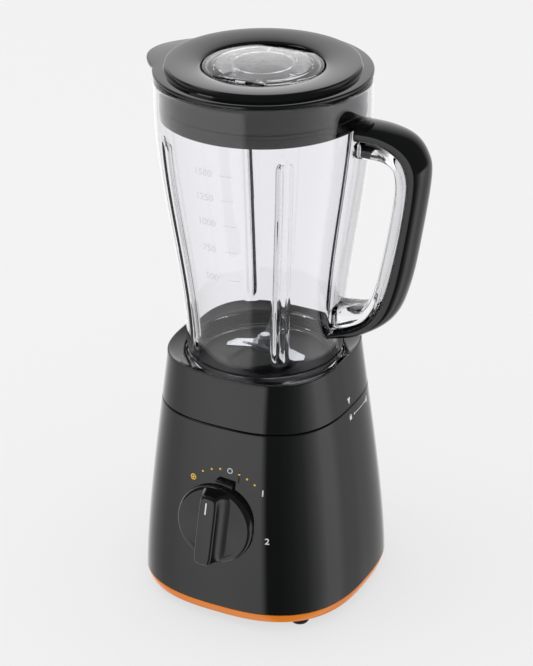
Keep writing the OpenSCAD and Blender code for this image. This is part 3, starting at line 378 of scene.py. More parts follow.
def finish_piece(name, bm, slot, body, stands_for=(), sharp_deg=34, merge=2e-6):
    """Merges doubles, turns the faces outwards, and makes the mesh a piece on its body."""
    bmesh.ops.remove_doubles(bm, verts=bm.verts, dist=merge)
    bmesh.ops.dissolve_degenerate(bm, edges=bm.edges, dist=1e-7)
    bmesh.ops.recalc_face_normals(bm, faces=bm.faces)
    mesh = bpy.data.meshes.new(name)
    bm.to_mesh(mesh)
    bm.free()
    mesh.shade_smooth()
    mesh.set_sharp_from_angle(angle=math.radians(sharp_deg))
    mesh.materials.append(finishes[slot] if slot in finishes else inks[slot])
    made = bpy.data.objects.new(name, mesh)
    bpy.context.scene.collection.objects.link(made)
    if stands_for:
        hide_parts(*stands_for)
    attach(made, body)
    print(name, "has", len(mesh.polygons), "faces")
    return made


def circle_ring(r, z, count=96):
    """A ring of places on a circle, given in mm."""
    return [Vector((r * math.cos(math.tau * i / count), r * math.sin(math.tau * i / count), z)) * MM
            for i in range(count)]


def turn_in(width, height, steps=4):
    """A quarter ellipse as pairs of inset and height: it starts upright and ends level."""
    turns_made = [math.pi / 2 * i / steps for i in range(1, steps + 1)]
    return [(width * (1 - math.cos(t)), height * math.sin(t)) for t in turns_made]

# %% [markdown]
# ## The squarish body
# The casing and the collar share one outline: a circle pulled towards a square, which leans
# inwards as it rises. One function gives a ring of that outline at any height, so the pieces
# line up across the seam.

# %% Body outline
CASING_Z, SEAM_Z, RIM_Z = 14.1, 154.1, 191.1
FOOT_HALF, RIM_HALF = 84.0, 64.1
SIDE_BOW = 1.35
RING_POINTS = 192


def half_width(z):
    """Half the body's width in mm at a height in mm."""
    share = max(0.0, (z - CASING_Z) / (RIM_Z - CASING_Z))
    return FOOT_HALF - (FOOT_HALF - RIM_HALF) * share ** SIDE_BOW


def squareness(z):
    """The outline's power: 2 is a circle, and more is squarer."""
    return 2.67 + 0.26 * max(0.0, (z - CASING_Z) / (RIM_Z - CASING_Z)) ** 6


def body_ring(z, inset=0.0, outline_z=None):
    """A ring at height z, in mm. Its outline is that at outline_z, or at z, moved in by inset."""
    level = z if outline_z is None else outline_z
    half, n = half_width(level) - inset, squareness(level)
    ring = []
    for i in range(RING_POINTS):
        a = math.tau * i / RING_POINTS
        r = half / (abs(math.cos(a)) ** n + abs(math.sin(a)) ** n) ** (1 / n)
        ring.append(Vector((r * math.cos(a), r * math.sin(a), z)) * MM)
    return ring


def round_ring(r, z):
    """A circle with as many points as the body's outline."""
    return circle_ring(r, z, RING_POINTS)


# %% [markdown]
# ## Casing
# The casing is one moulding: leaning sides, a deck with a small edge radius that makes the thin
# light line along the seam, and a tower with four lugs that the collar hooks under.

# %% Casing
WALL, DECK = 2.6, 3.0
FOOT_TURN, EDGE_TURN, BORE_R = 0.5, 0.8, 5.5
CORNER = 1 / math.sqrt(2)
TOWER_IN, TOWER_OUT, TOWER_TOP, LUG_Z = 43.0, 46.0, 168.4, 163.8

casing = bmesh.new()
side_low, side_high = CASING_Z + FOOT_TURN, SEAM_Z - EDGE_TURN
sides = [side_low + (side_high - side_low) * i / 26 for i in range(27)]
rings = [body_ring(CASING_Z, WALL), body_ring(CASING_Z, FOOT_TURN, CASING_Z)]
rings += [body_ring(z) for z in sides]
rings += [body_ring(side_high + h, i, side_high) for i, h in turn_in(EDGE_TURN, EDGE_TURN)]
rings += [body_ring(SEAM_Z, 8.0, SEAM_Z), round_ring(TOWER_OUT + 1, SEAM_Z)]
rings += [round_ring(TOWER_OUT, SEAM_Z + 1), round_ring(TOWER_OUT, TOWER_TOP - 0.6),
          round_ring(TOWER_OUT - 0.6, TOWER_TOP), round_ring(TOWER_IN + 0.6, TOWER_TOP),
          round_ring(TOWER_IN, TOWER_TOP - 0.6), round_ring(TOWER_IN, SEAM_Z),
          round_ring(BORE_R, SEAM_Z), round_ring(BORE_R, SEAM_Z - DECK)]
rings += [body_ring(SEAM_Z - DECK, WALL + 6.0), body_ring(SEAM_Z - DECK - 3.0, WALL)]
rings += [body_ring(z, WALL) for z in (120.0, 90.0, 60.0, 30.0, CASING_Z)]
skin(casing, rings, closed=True)


def sector(bm, r_in, r_out, z0, z1, middle_deg, span_deg, steps=8):
    """A curved block: one radial face is spun round the Z axis."""
    start = math.radians(middle_deg - span_deg / 2)
    turned = Matrix.Rotation(start, 3, "Z")
    corners = [bm.verts.new(turned @ (Vector((r, 0, z)) * MM))
               for r, z in ((r_in, z0), (r_out, z0), (r_out, z1), (r_in, z1))]
    face = bm.faces.new(corners)
    bmesh.ops.spin(bm, geom=[face, *face.edges, *corners], cent=(0, 0, 0), axis=(0, 0, 1),
                   angle=math.radians(span_deg), steps=steps, use_duplicate=False)


def rod(bm, centre, r, z0, z1, count=24):
    """A closed round bar along Z, in mm."""
    bmesh.ops.create_cone(bm, cap_ends=True, segments=count, radius1=r * MM, radius2=r * MM,
                          depth=(z1 - z0) * MM,
                          matrix=Matrix.Translation(Vector((*centre, (z0 + z1) / 2)) * MM))


LUGS = [45 + 90 * i for i in range(4)]
for lug in LUGS:
    sector(casing, TOWER_OUT - 0.5, TOWER_OUT + 3, LUG_Z, TOWER_TOP - 0.6, lug, 22)
DECK_POST = (52 * CORNER, 4, SEAM_Z - DECK - 12, SEAM_Z - 1)
BASE_POST = (64 * CORNER, 5, 10.6, 40.1)
for x, y in [(x, y) for x in (-1, 1) for y in (-1, 1)]:
    for out, *size in (DECK_POST, BASE_POST):
        rod(casing, (x * out, y * out), *size)
INTERLOCK_BOSS = (-36, 0), 5, SEAM_Z - 1, SEAM_Z + 4.4
rod(casing, *INTERLOCK_BOSS)
finish_piece("casing_shell", casing, "gloss_black_abs", "power_unit", ["casing"])

# %% [markdown]
# ## Trim ring
# A coloured ring closes the casing's foot. Its lower edge is set in, so it shows as a thin bright
# band under the black. A soft turn at both edges catches the light.

# %% Trim ring
TRIM_Z = 7.0
trim = bmesh.new()
rings = [body_ring(TRIM_Z, 2.4, CASING_Z), body_ring(TRIM_Z + 0.2, 1.95, CASING_Z),
         body_ring(TRIM_Z + 0.8, 1.6, CASING_Z), body_ring(TRIM_Z + 3.5, 0.9, CASING_Z),
         body_ring(CASING_Z - 1.0, 0.25, CASING_Z), body_ring(CASING_Z - 0.4, 0.35, CASING_Z),
         body_ring(CASING_Z - 0.15, 0.8, CASING_Z), body_ring(CASING_Z - 0.1, 4.0, CASING_Z),
         body_ring(TRIM_Z, 4.0, CASING_Z)]
skin(trim, rings, closed=True)
trim_piece = finish_piece("trim_band", trim, "orange_trim", "power_unit", ["trim_ring"])
trim_piece.visible_diffuse = False

# %% [markdown]
# ## Collar
# The collar carries the blades and takes the goblet's neck. Its top dishes slightly towards a
# round well, and its rim is a thin turned edge. Inside it are the well's floor and the skirt with
# hooks that turn under the casing's lugs.

# %% Collar
SEAM_GAP, RIM_TURN, DISH_DEPTH = 0.6, 0.4, 3.6
WELL_R, WELL_Z, FLOOR_Z, CARRIER_R = 57.0, 174.4, 171.4, 17.3
SKIRT_IN, SKIRT_OUT, SKIRT_LOW = 50.0, 52.4, 158.8
collar = bmesh.new()
low = SEAM_Z + SEAM_GAP
side_low, side_high = low + EDGE_TURN, RIM_Z - RIM_TURN
sides = [side_low + (side_high - side_low) * i / 12 for i in range(13)]
rings = [body_ring(low, WALL, low), body_ring(low, EDGE_TURN, low)]
rings += [body_ring(side_low - h, i, low) for i, h in turn_in(EDGE_TURN, EDGE_TURN)[2::-1]]
rings += [body_ring(z) for z in sides]
rings += [body_ring(side_high + h, i, side_high) for i, h in turn_in(RIM_TURN, RIM_TURN)]
brim = body_ring(RIM_Z, 1.1, side_high)
lip = body_ring(RIM_Z - 0.25, 1.4, side_high)
dish = round_ring(WELL_R + 0.9, RIM_Z - DISH_DEPTH)
rings += [brim, lip]
rings += [[a.lerp(b, share) for a, b in zip(lip, dish)] for share in (0.3, 0.6, 0.9, 1)]
rings += [round_ring(WELL_R + 0.2, RIM_Z - 4.0), round_ring(WELL_R, RIM_Z - 4.6),
          round_ring(WELL_R, WELL_Z), round_ring(CARRIER_R, WELL_Z), round_ring(CARRIER_R, FLOOR_Z),
          round_ring(WELL_R + WALL, FLOOR_Z), round_ring(WELL_R + WALL, RIM_Z - 8.0)]
rings += [body_ring(z, WALL) for z in (RIM_Z - 7.0, 175.0, 165.0, low)]
skin(collar, rings, closed=True)
skirt = [(SKIRT_IN, SKIRT_LOW), (SKIRT_IN, FLOOR_Z + 1), (SKIRT_OUT, FLOOR_Z + 1),
         (SKIRT_OUT, SKIRT_LOW)]
skin(collar, [round_ring(r, z) for r, z in skirt], closed=True)
for lug in LUGS:
    sector(collar, 46.6, 51.0, SKIRT_LOW, 163.4, lug, 20)
sector(collar, 31.0, 38.0, 165.3, FLOOR_Z + 0.5, 183, 12)
finish_piece("collar_shell", collar, "gloss_black_abs", "collar", ["collar"])

# %% [markdown]
# ## Knob
# The knob is a thick disc on a narrower base, with a grip bar across it. It is modelled on the
# face's own plane, with Y up the face and Z outwards, and is then carried to the dial's centre,
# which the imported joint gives. The bar is a skin of rounded boxes, widest at its foot. The disc's
# front dips towards the shaft, so the foot meets it only near the bar's two ends.

# %% Knob
dial = next(j for j in frame["joints"] if j["name"] == "dial_turn")
dial_out = Vector(dial["axis"]).normalized()
dial_up = dial_out.cross(Vector((1, 0, 0))).normalized()
on_dial = Matrix.Translation(Vector(dial["pos_m"])) @ Matrix(
    (Vector((1, 0, 0)), dial_up, dial_out)).transposed().to_4x4()
KNOB_R, KNOB_FRONT, BAR_FRONT, OFF_DEG = 29.3, 17.4, 30.2, 4.4
on_knob = on_dial @ Matrix.Rotation(math.radians(-OFF_DEG), 4, "Z")
SHAFT_R, SHOULDER_Z = 3.1, 14.2
disc_line = [(SHAFT_R, 14.0), (5.5, 14.0), (5.5, 3.0), (21.8, 3.0), (21.8, 1.0), (24.3, 1.0),
             (24.6, 3.0), (25.4, 6.0), (27.0, 8.6), (28.9, 10.2), (KNOB_R, 11.2),
             (KNOB_R, SHOULDER_Z)]
disc_line += [(KNOB_R - i, SHOULDER_Z + h) for i, h in turn_in(2.8, KNOB_FRONT - SHOULDER_Z, 6)]
disc_line += [(KNOB_R - 4.2, KNOB_FRONT - 0.3), (KNOB_R - 6.0, KNOB_FRONT - 0.45),
              (SHAFT_R, KNOB_FRONT - 0.45)]
knob = bmesh.new()
skin(knob, [circle_ring(r, z, 96) for r, z in disc_line], closed=True)

BAR_LOW, BAR_HIGH, BAR_POINTS = -27.6, 28.2, 64


def bar_ring(half, z, short):
    """A ring of the grip bar: a long rounded box, kept inside the disc's edge."""
    middle, reach = (BAR_LOW + BAR_HIGH) / 2, (BAR_HIGH - BAR_LOW) / 2 - short
    ring = []
    for i in range(BAR_POINTS):
        a = math.tau * i / BAR_POINTS
        r = 1 / (abs(math.cos(a)) ** 7 + abs(math.sin(a)) ** 7) ** (1 / 7)
        x, y = half * r * math.cos(a), middle + reach * r * math.sin(a)
        held = min(1.0, (KNOB_R - 0.9 - short) / math.hypot(x, y))
        ring.append(Vector((x * held, y * held, z)) * MM)
    return ring


bar_rows = [(11.6, 16.8, 0), (11.2, 17.4, 0), (10.0, 18.6, 0.2), (8.8, 20.2, 0.4), (7.9, 22.2, 0.5),
            (7.3, 24.6, 0.6), (6.9, 27.0, 0.7), (6.8, 28.2, 0.8)]
bar_rows += [(6.8 - i, 28.2 + h, 0.8 + i) for i, h in turn_in(2.0, 2.0, 6)]
bar_end = skin(knob, [bar_ring(*row) for row in bar_rows])
bmesh.ops.contextual_create(knob, geom=bar_end)
bar_foot = [e for e in knob.edges if e.is_boundary and e.verts[0].co.z > SHOULDER_Z * MM]
bmesh.ops.holes_fill(knob, edges=bar_foot, sides=0)
NOSE_AT, NOSE_SIZE = Vector((0, 26.2, 4.9)), Vector((13.6, 8.6, 7.4))
nose = bmesh.ops.create_cube(knob, size=1.0, matrix=Matrix.Translation(NOSE_AT * MM)
                             @ Matrix.Diagonal((*(NOSE_SIZE * MM), 1.0)))["verts"]
nose_edges = list({e for v in nose for e in v.link_edges})
bmesh.ops.bevel(knob, geom=nose_edges, affect="EDGES", offset=1.0 * MM, segments=3, profile=0.5,
                material=-1)
bmesh.ops.transform(knob, matrix=on_knob, verts=knob.verts)
knob_piece = finish_piece("dial_knob", knob, "knob_black_abs", "dial", ["knob"])
knob_piece.visible_glossy = False
nodes["knob_shaft"].visible_glossy = False

# %% [markdown]
# ## Printed marks on the power unit
# A yellow ring and six dots lead to the pulse position, a white O is off, and 1 and 2 are the
# speeds. The lock's marks are an arrow on the collar, and a shut and an open padlock on the
# casing. Each mark is drawn flat in mm, and then laid a little proud of the face it is on.

# %% Marks
INK_LIFT, INK_FILM = 0.06, 0.05
DIAL_AT, MARK_R = (dial["pos_m"][0] / MM, dial["pos_m"][2] / MM), 35.5


def on_side(along, z, quarter):
    """A place on the body's outline: along runs to the right, seen from that side."""
    half, n = half_width(z) + INK_LIFT, squareness(z)
    out = half * (1 - (abs(along) / half) ** n) ** (1 / n)
    return Matrix.Rotation(math.pi / 2 * quarter, 3, "Z") @ (Vector((along, -out, z)) * MM)


def flat_band(bm, centre, r_in, r_out, from_deg=0.0, to_deg=360.0, steps=28):
    """A flat ring, or a part of one: a short edge is spun round the centre."""
    a, middle = math.radians(from_deg), Vector((*centre, 0))
    ends = [bm.verts.new(middle + Vector((r * math.cos(a), r * math.sin(a), 0)))
            for r in (r_in, r_out)]
    edge = bm.edges.new(ends)
    bmesh.ops.spin(bm, geom=[edge, *ends], cent=middle, axis=(0, 0, 1), steps=steps,
                   angle=math.radians(to_deg - from_deg), use_duplicate=False,
                   use_merge=to_deg - from_deg >= 360)


def flat_face(bm, corners):
    """A flat face through corners in mm."""
    bmesh.ops.contextual_create(bm, geom=[bm.verts.new((x, y, 0)) for x, y in corners])


def flat_text(bm, words, centre, height):
    """Plain digits as flat faces, from the built-in font."""
    letters = bpy.data.curves.new("digits", "FONT")
    letters.body = words
    letters.align_x, letters.align_y = "CENTER", "CENTER"
    letters.size, letters.resolution_u, letters.offset = height / 0.7, 3, 0.12
    carrier = bpy.data.objects.new("digits", letters)
    bpy.context.scene.collection.objects.link(carrier)
    shape = carrier.to_mesh()
    for v in shape.vertices:
        v.co += Vector((*centre, 0))
    bm.from_mesh(shape)
    carrier.to_mesh_clear()
    bpy.data.objects.remove(carrier)


def print_marks(name, bm, place, ink, body):
    """Cuts the marks finely enough to bend, and lays them on a surface."""
    bmesh.ops.triangulate(bm, faces=bm.faces)
    long_edges = [e for e in bm.edges if e.calc_length() > 2.0]
    bmesh.ops.subdivide_edges(bm, edges=long_edges, cuts=3)
    for v in bm.verts:
        v.co = place(v.co.x, v.co.y)
    bmesh.ops.remove_doubles(bm, verts=bm.verts, dist=1e-6)
    bmesh.ops.solidify(bm, geom=bm.faces[:], thickness=INK_FILM * MM)
    return finish_piece(name, bm, ink, body, merge=1e-6)


def mark_at(turn):
    """The place of a dial mark that is turn degrees clockwise from the top."""
    a = math.radians(turn)
    return DIAL_AT[0] + MARK_R * math.sin(a), DIAL_AT[1] + MARK_R * math.cos(a)


PULSE_TURN, ONE_TURN, TWO_TURN, DIGIT_H = -48.3, 51.1, 114.2, 4.6
DOT_TURNS = (-32.1, -19.5, -8.2, 16.3, 26.6, 37.5)
yellow = bmesh.new()
flat_band(yellow, mark_at(PULSE_TURN), 1.6, 2.3)
flat_band(yellow, mark_at(PULSE_TURN), 0.0, 0.9, steps=16)
for turn in DOT_TURNS:
    flat_band(yellow, mark_at(turn), 0.0, 0.75, steps=14)
print_marks("dial_dots", yellow, lambda x, z: on_side(x, z, 0), "ink_yellow", "power_unit")
white = bmesh.new()
flat_band(white, mark_at(OFF_DEG), 1.5, 2.1)
flat_text(white, "1", mark_at(ONE_TURN), DIGIT_H)
flat_text(white, "2", mark_at(TWO_TURN), DIGIT_H)
print_marks("dial_numbers", white, lambda x, z: on_side(x, z, 0), "ink_white", "power_unit")
pointer = bmesh.new()
flat_face(pointer, [(-1.5, 13.4), (-0.5, 13.4), (-0.5, 22.4), (-1.5, 22.4)])
bmesh.ops.transform(pointer, matrix=on_knob @ Matrix.Translation((0, 0, (BAR_FRONT + 0.05) * MM))
                    @ Matrix.Scale(MM, 4), verts=pointer.verts)
bmesh.ops.solidify(pointer, geom=pointer.faces[:], thickness=INK_FILM * MM)
finish_piece("knob_pointer", pointer, "ink_white", "dial")

arrow = bmesh.new()
flat_face(arrow, [(-5.9, 162.4), (-3.8, 157.2), (-1.7, 162.4)])
print_marks("lock_arrow", arrow, lambda y, z: on_side(y, z, 1), "ink_white", "collar")
locks = bmesh.new()
for y, shackle in ((-3.9, 0.0), (25.3, 0.9)):
    flat_face(locks, [(y - 1.6, 145.4), (y + 1.6, 145.4), (y + 1.6, 148.2), (y - 1.6, 148.2)])
    flat_band(locks, (y + shackle, 148.2), 0.8, 1.3, 0, 180, 12)
flat_face(locks, [(2.5, 147.1), (20.5, 147.1), (20.5, 147.6), (2.5, 147.6)])
for y, way in ((2.5, -1), (20.5, 1)):
    flat_face(locks, [(y, 146.3), (y + way * 1.6, 147.35), (y, 148.4)])
print_marks("lock_signs", locks, lambda y, z: on_side(y, z, 1), "ink_white", "power_unit")

# %% [markdown]
# ## Goblet
# The goblet is a flared wall of even thickness, open at both ends, with four flutes pressed in
# from outside to stir the mix. It has a thick foot ring, a ribbed neck that goes down into the
# collar, and the clear inner half of the handle, which is joined to the wall by a Boolean so
# that the clear material has one unbroken inside.

# %% Goblet wall
FOOT_R, MOUTH_R, GOBLET_WALL = 56.0, 74.9, 3.0
FOOT_RING_Z, NECK_Z, MOUTH_Z, FLARE_H = 190.0, 176.4, 396.8, 186.0
NECK_R, FLUTE_DEPTH = 54.0, 4.5
FLUTES = (52.0, 128.0, 232.0, 308.0)
FLUTE_LOW, FLUTE_HIGH = 199.5, 360.0


def goblet_r(z):
    """The goblet's outer radius in mm at a height in mm."""
    t = min(1.0, max(0.0, (z - FOOT_RING_Z) / FLARE_H))
    return FOOT_R + (MOUTH_R - FOOT_R) * t * t * (3 - 2 * t)


turns = [4.0 * i for i in range(90) if all(abs(4.0 * i - f) > 7.9 for f in FLUTES)]
turns = sorted(turns + [f + 0.45 * k for f in FLUTES for k in range(-17, 18)])


def swell(z, low, high, fade):
    """Rises smoothly from 0 at low to 1, and falls to 0 at high."""
    up = min(1.0, max(0.0, (z - low) / fade))
    down = min(1.0, max(0.0, (high - z) / fade))
    share = min(up, down)
    return share * share * (3 - 2 * share)


def flute(d, r, z, half_mm, depth):
    """How far the wall is pressed in at a turn of d degrees."""
    off = min(abs(math.radians(d - f)) * r for f in FLUTES)
    if off >= half_mm:
        return 0.0
    return depth * (0.5 + 0.5 * math.cos(math.pi * off / half_mm)) ** 0.75 \
        * swell(z, FLUTE_LOW, FLUTE_HIGH, 7.0)


def wall_ring(r, z, inner):
    """A ring of the goblet's wall, pressed in at the flutes."""
    ring = []
    for d in turns:
        push = flute(d, r, z, 6.4 if inner else 3.2, FLUTE_DEPTH if inner else FLUTE_DEPTH - 0.4)
        a = math.radians(d)
        ring.append(Vector(((r - push) * math.cos(a), (r - push) * math.sin(a), z)) * MM)
    return ring


LEVEL_STEP = 3.2
levels = [FOOT_RING_Z + 3 + LEVEL_STEP * i for i in range(63)]
levels = [z for z in levels if z < MOUTH_Z - 2]
outside = [(NECK_R - 0.6, NECK_Z), (NECK_R, NECK_Z + 0.6)]
for rib in (NECK_Z + 2, NECK_Z + 7):
    outside += [(NECK_R, rib), (NECK_R + 1.6, rib + 0.4), (NECK_R + 1.6, rib + 2.1),
                (NECK_R, rib + 2.5)]
outside += [(NECK_R, FOOT_RING_Z - 1.4), (NECK_R + 0.8, FOOT_RING_Z - 0.6),
            (FOOT_R - 0.3, FOOT_RING_Z - 0.1), (FOOT_R, FOOT_RING_Z + 0.6)]
outside += [(goblet_r(z), z) for z in levels]
outside += [(MOUTH_R, MOUTH_Z - 1.0), (MOUTH_R - 0.3, MOUTH_Z - 0.3), (MOUTH_R - 1.0, MOUTH_Z)]
inside = [(MOUTH_R - 2.0, MOUTH_Z), (MOUTH_R - 2.7, MOUTH_Z - 0.3), (MOUTH_R - 3.0, MOUTH_Z - 1.0)]
inside += [(goblet_r(z) - GOBLET_WALL, z) for z in reversed(levels)]
inside += [(FOOT_R - GOBLET_WALL, FOOT_RING_Z + 1.2), (NECK_R - GOBLET_WALL, FOOT_RING_Z - 0.6),
           (NECK_R - GOBLET_WALL, NECK_Z + 0.5), (NECK_R - GOBLET_WALL + 0.5, NECK_Z)]
goblet = bmesh.new()
wall = [wall_ring(r, z, False) for r, z in outside]
wall += [wall_ring(r, z, True) for r, z in inside]
skin(goblet, wall, closed=True)

# %% [markdown]
# ### Handle
# The handle's three edges lie in one plane: the cover's outer edge, the line where the cover
# meets the clear rail, and the rail's inner edge. A rounded section runs between two of these
# edges from the upper root to the lower one, and the rings at the roots end on the wall.

# %% Handle edges and sections
GRIP_TOP, GRIP_FOOT, REACH, HANDLE_W = MOUTH_Z - 23.3, FOOT_RING_Z + 22, 52.5, 27.0
OUTER = [(-0.1, 1.005), (0.34, 1), (0.68, 0.97), (0.875, 0.9), (0.935, 0.8), (0.835, 0.54),
         (0.69, 0.285), (0.475, 0.12), (0.02, 0.015), (-0.4, -0.02)]
MIDDLE = [(-0.1, 0.92), (0.25, 0.925), (0.54, 0.882), (0.665, 0.81), (0.67, 0.7), (0.545, 0.44),
          (0.38, 0.225), (0.21, 0.13), (0.0, 0.07), (-0.4, 0.012)]
INNER = [(-0.1, 0.845), (0.25, 0.848), (0.46, 0.838), (0.525, 0.79), (0.505, 0.675), (0.38, 0.43),
         (0.265, 0.26), (0.165, 0.19), (0.03, 0.16), (-0.4, 0.14)]


def smooth_line(points, steps):
    """A Catmull-Rom line through points on the handle, in mm."""
    held = [Vector((MOUTH_R + o * REACH, 0, GRIP_FOOT + u * (GRIP_TOP - GRIP_FOOT)))
            for o, u in points]
    line = []
    for i in range(len(held) - 1):
        a, b = held[max(i - 1, 0)], held[i]
        c, d = held[i + 1], held[min(i + 2, len(held) - 1)]
        for k in range(steps):
            t = k / steps
            line.append(0.5 * (2 * b + (c - a) * t + (2 * a - 5 * b + 4 * c - d) * t * t
                               + (3 * b - a - 3 * c + d) * t ** 3))
    return line + [held[-1]]


def grip(bm, edge_a, edge_b, width, fullness, wall_in):
    """A rounded bar between two edges, with its ends on the wall: fullness is (outer, inner)."""
    rings = []
    for p, q in zip(edge_a, edge_b):
        middle, reach = (p + q) / 2, (p - q) / 2
        ring = []
        for i in range(32):
            a = math.tau * i / 32
            c, s = math.cos(a), math.sin(a)
            full = fullness[0] if c > 0 else fullness[1]
            r = 1 / (abs(c) ** full + abs(s) ** full) ** (1 / full)
            ring.append(middle + reach * (c * r) + Vector((0, s * r * width / 2, 0)))
        outside_wall = [math.hypot(v.x, v.y) > goblet_r(v.z) - wall_in for v in ring]
        rings.append((any(outside_wall), ring))
    keep = [i for i, (shown, ring) in enumerate(rings) if shown]
    rings = [ring for shown, ring in rings[max(keep[0] - 1, 0):keep[-1] + 2]]
    for ring in rings:
        for v in ring:
            limit = goblet_r(v.z) - wall_in
            if math.hypot(v.x, v.y) < limit:
                v.x = math.sqrt(limit * limit - v.y * v.y)
    skin(bm, [[v * MM for v in ring] for ring in rings])
    ends = [e for e in bm.edges if e.is_boundary]
    bmesh.ops.holes_fill(bm, edges=ends, sides=0)


outer_line, middle_line, inner_line = (smooth_line(p, 6) for p in (OUTER, MIDDLE, INNER))
cover = bmesh.new()
grip(cover, outer_line, middle_line, HANDLE_W, (2.05, 4.0), -0.12)
finish_piece("grip_cover", cover, "gloss_black_abs", "goblet", ["handle_cover"], sharp_deg=50)

rail = bmesh.new()
tucked = [m + (i - m) * 0.01 for m, i in zip(middle_line, inner_line)]
grip(rail, tucked, inner_line, HANDLE_W - 2, (3.6, 3.6), 1.5)


def plain_object(name, bm):
    """A loose object for a Boolean."""
    bmesh.ops.remove_doubles(bm, verts=bm.verts, dist=2e-6)
    bmesh.ops.recalc_face_normals(bm, faces=bm.faces)
    mesh = bpy.data.meshes.new(name)
    bm.to_mesh(mesh)
    bm.free()
    made = bpy.data.objects.new(name, mesh)
    bpy.context.scene.collection.objects.link(made)
    return made


wall_part, rail_part = plain_object("wall_part", goblet), plain_object("rail_part", rail)
join = wall_part.modifiers.new("join", "BOOLEAN")
join.operation, join.solver, join.object = "UNION", "EXACT", rail_part
joined = wall_part.evaluated_get(bpy.context.evaluated_depsgraph_get())
whole = bmesh.new()
whole.from_mesh(joined.to_mesh())
for part in (wall_part, rail_part):
    bpy.data.objects.remove(part)
finish_piece("goblet_clear", whole, "clear_copolyester", "goblet", ["goblet"], sharp_deg=40,
             merge=1e-8)

# %% [markdown]
# ## Volume marks
# The volumes are printed up the goblet's front, each with a short line at its level. They are
# generic: a number of millilitres, without a unit.

# %% Volume marks
LEVELS = [("1500", 348.0), ("1250", 329.5), ("1000", 310.2), ("750", 289.6), ("500", 266.9)]
volumes = bmesh.new()
for words, z in LEVELS:
    flat_text(volumes, words, (-8.0, z), 5.0)
    flat_face(volumes, [(4.5, z - 0.3), (13.5, z - 0.3), (13.5, z + 0.3), (4.5, z + 0.3)])


def on_goblet(along, z):
    """A place on the goblet's outside, beside the dial's side, along to the right."""
    r, a = goblet_r(z) + INK_LIFT, along / goblet_r(z)
    return Vector((r * math.sin(a), -r * math.cos(a), z)) * MM


print_marks("volume_marks", volumes, on_goblet, "ink_white", "goblet")

# %% [markdown]
# ## Lid
# The lid is a flange that rests on the rim, a raised crown that dips to the filler hole, and a
# skirt with a seal inside the goblet. A rounded tab swells out of the flange to lift it by.

# %% Lid
LID_R, FLANGE_TOP, CROWN_R, CROWN_TOP = 75.5, 399.5, 67.2, 404.0
FILLER_R, SKIRT_R, SKIRT_Z, SEAL_Z, LEDGE_Z = 42.6, 70.9, 368.0, 372.0, 388.8
TAB_REACH, TAB_HALF = 12.1, 30.0
LID_POINTS = 180


def lid_ring(r, z, tab=0.0):
    """A ring of the lid: the tab's share of the reach is added on the -X side."""
    ring = []
    for i in range(LID_POINTS):
        a = math.tau * i / LID_POINTS
        off = abs(math.degrees(a) - 180)
        lobe = ((1 + math.cos(math.pi * off / TAB_HALF)) / 2) ** 0.8 if off < TAB_HALF else 0.0
        rr = r + tab * max(0.0, TAB_REACH * lobe - 1.0)
        ring.append(Vector((rr * math.cos(a), rr * math.sin(a), z)) * MM)
    return ring


rows = [(SKIRT_R - 3, SKIRT_Z, 0), (SKIRT_R - 0.4, SKIRT_Z, 0), (SKIRT_R, SKIRT_Z + 0.4, 0),
        (SKIRT_R, SEAL_Z, 0), (SKIRT_R - 1.4, SEAL_Z, 0), (SKIRT_R - 1.4, SEAL_Z + 6, 0),
        (SKIRT_R, SEAL_Z + 6, 0), (SKIRT_R, MOUTH_Z, 0), (LID_R - 2.4, MOUTH_Z, 1),
        (LID_R - 0.4, MOUTH_Z + 0.05, 1), (LID_R, MOUTH_Z + 0.5, 1), (LID_R, FLANGE_TOP - 1.1, 1)]
rows += [(LID_R - i, FLANGE_TOP - 1.1 + h, 1) for i, h in turn_in(1.1, 1.1, 5)]
rows += [(CROWN_R + 2.2, FLANGE_TOP, 0), (CROWN_R + 0.8, FLANGE_TOP + 0.1, 0),
         (CROWN_R + 0.2, FLANGE_TOP + 0.6, 0), (CROWN_R, FLANGE_TOP + 1.4, 0),
         (CROWN_R - 0.2, CROWN_TOP - 1.1, 0)]
rows += [(CROWN_R - 0.2 - i, CROWN_TOP - 1.1 + h, 0) for i, h in turn_in(1.3, 1.1, 6)]
rows += [(CROWN_R - 6, CROWN_TOP - 0.02, 0), (CROWN_R - 11, CROWN_TOP - 0.3, 0),
         (CROWN_R - 17, CROWN_TOP - 1.0, 0), (FILLER_R + 2.4, CROWN_TOP - 2.0, 0),
         (FILLER_R + 0.8, CROWN_TOP - 2.6, 0), (FILLER_R + 0.1, CROWN_TOP - 3.4, 0),
         (FILLER_R, CROWN_TOP - 4.4, 0), (FILLER_R, LEDGE_Z + 2, 0), (FILLER_R - 5, LEDGE_Z + 2, 0),
         (FILLER_R - 5, LEDGE_Z, 0), (FILLER_R + 2.4, LEDGE_Z, 0),
         (FILLER_R + 2.4, CROWN_TOP - 5.2, 0), (CROWN_R - 12, CROWN_TOP - 3.4, 0),
         (CROWN_R - 4.5, CROWN_TOP - 2.6, 0), (CROWN_R - 2.8, CROWN_TOP - 3.6, 0),
         (CROWN_R - 2.8, MOUTH_Z, 0), (SKIRT_R - 3, MOUTH_Z - 3, 0)]
lid = bmesh.new()
skin(lid, [lid_ring(*row) for row in rows], closed=True)
finish_piece("lid_shell", lid, "gloss_black_abs", "lid", ["lid"])

# %% [markdown]
# ## Lid seal
# A black ring with two soft lips sits in the skirt's groove. Silicone moulded against polished
# steel is as smooth as gloss plastic, so it has a finish of its own in place of its slot's.

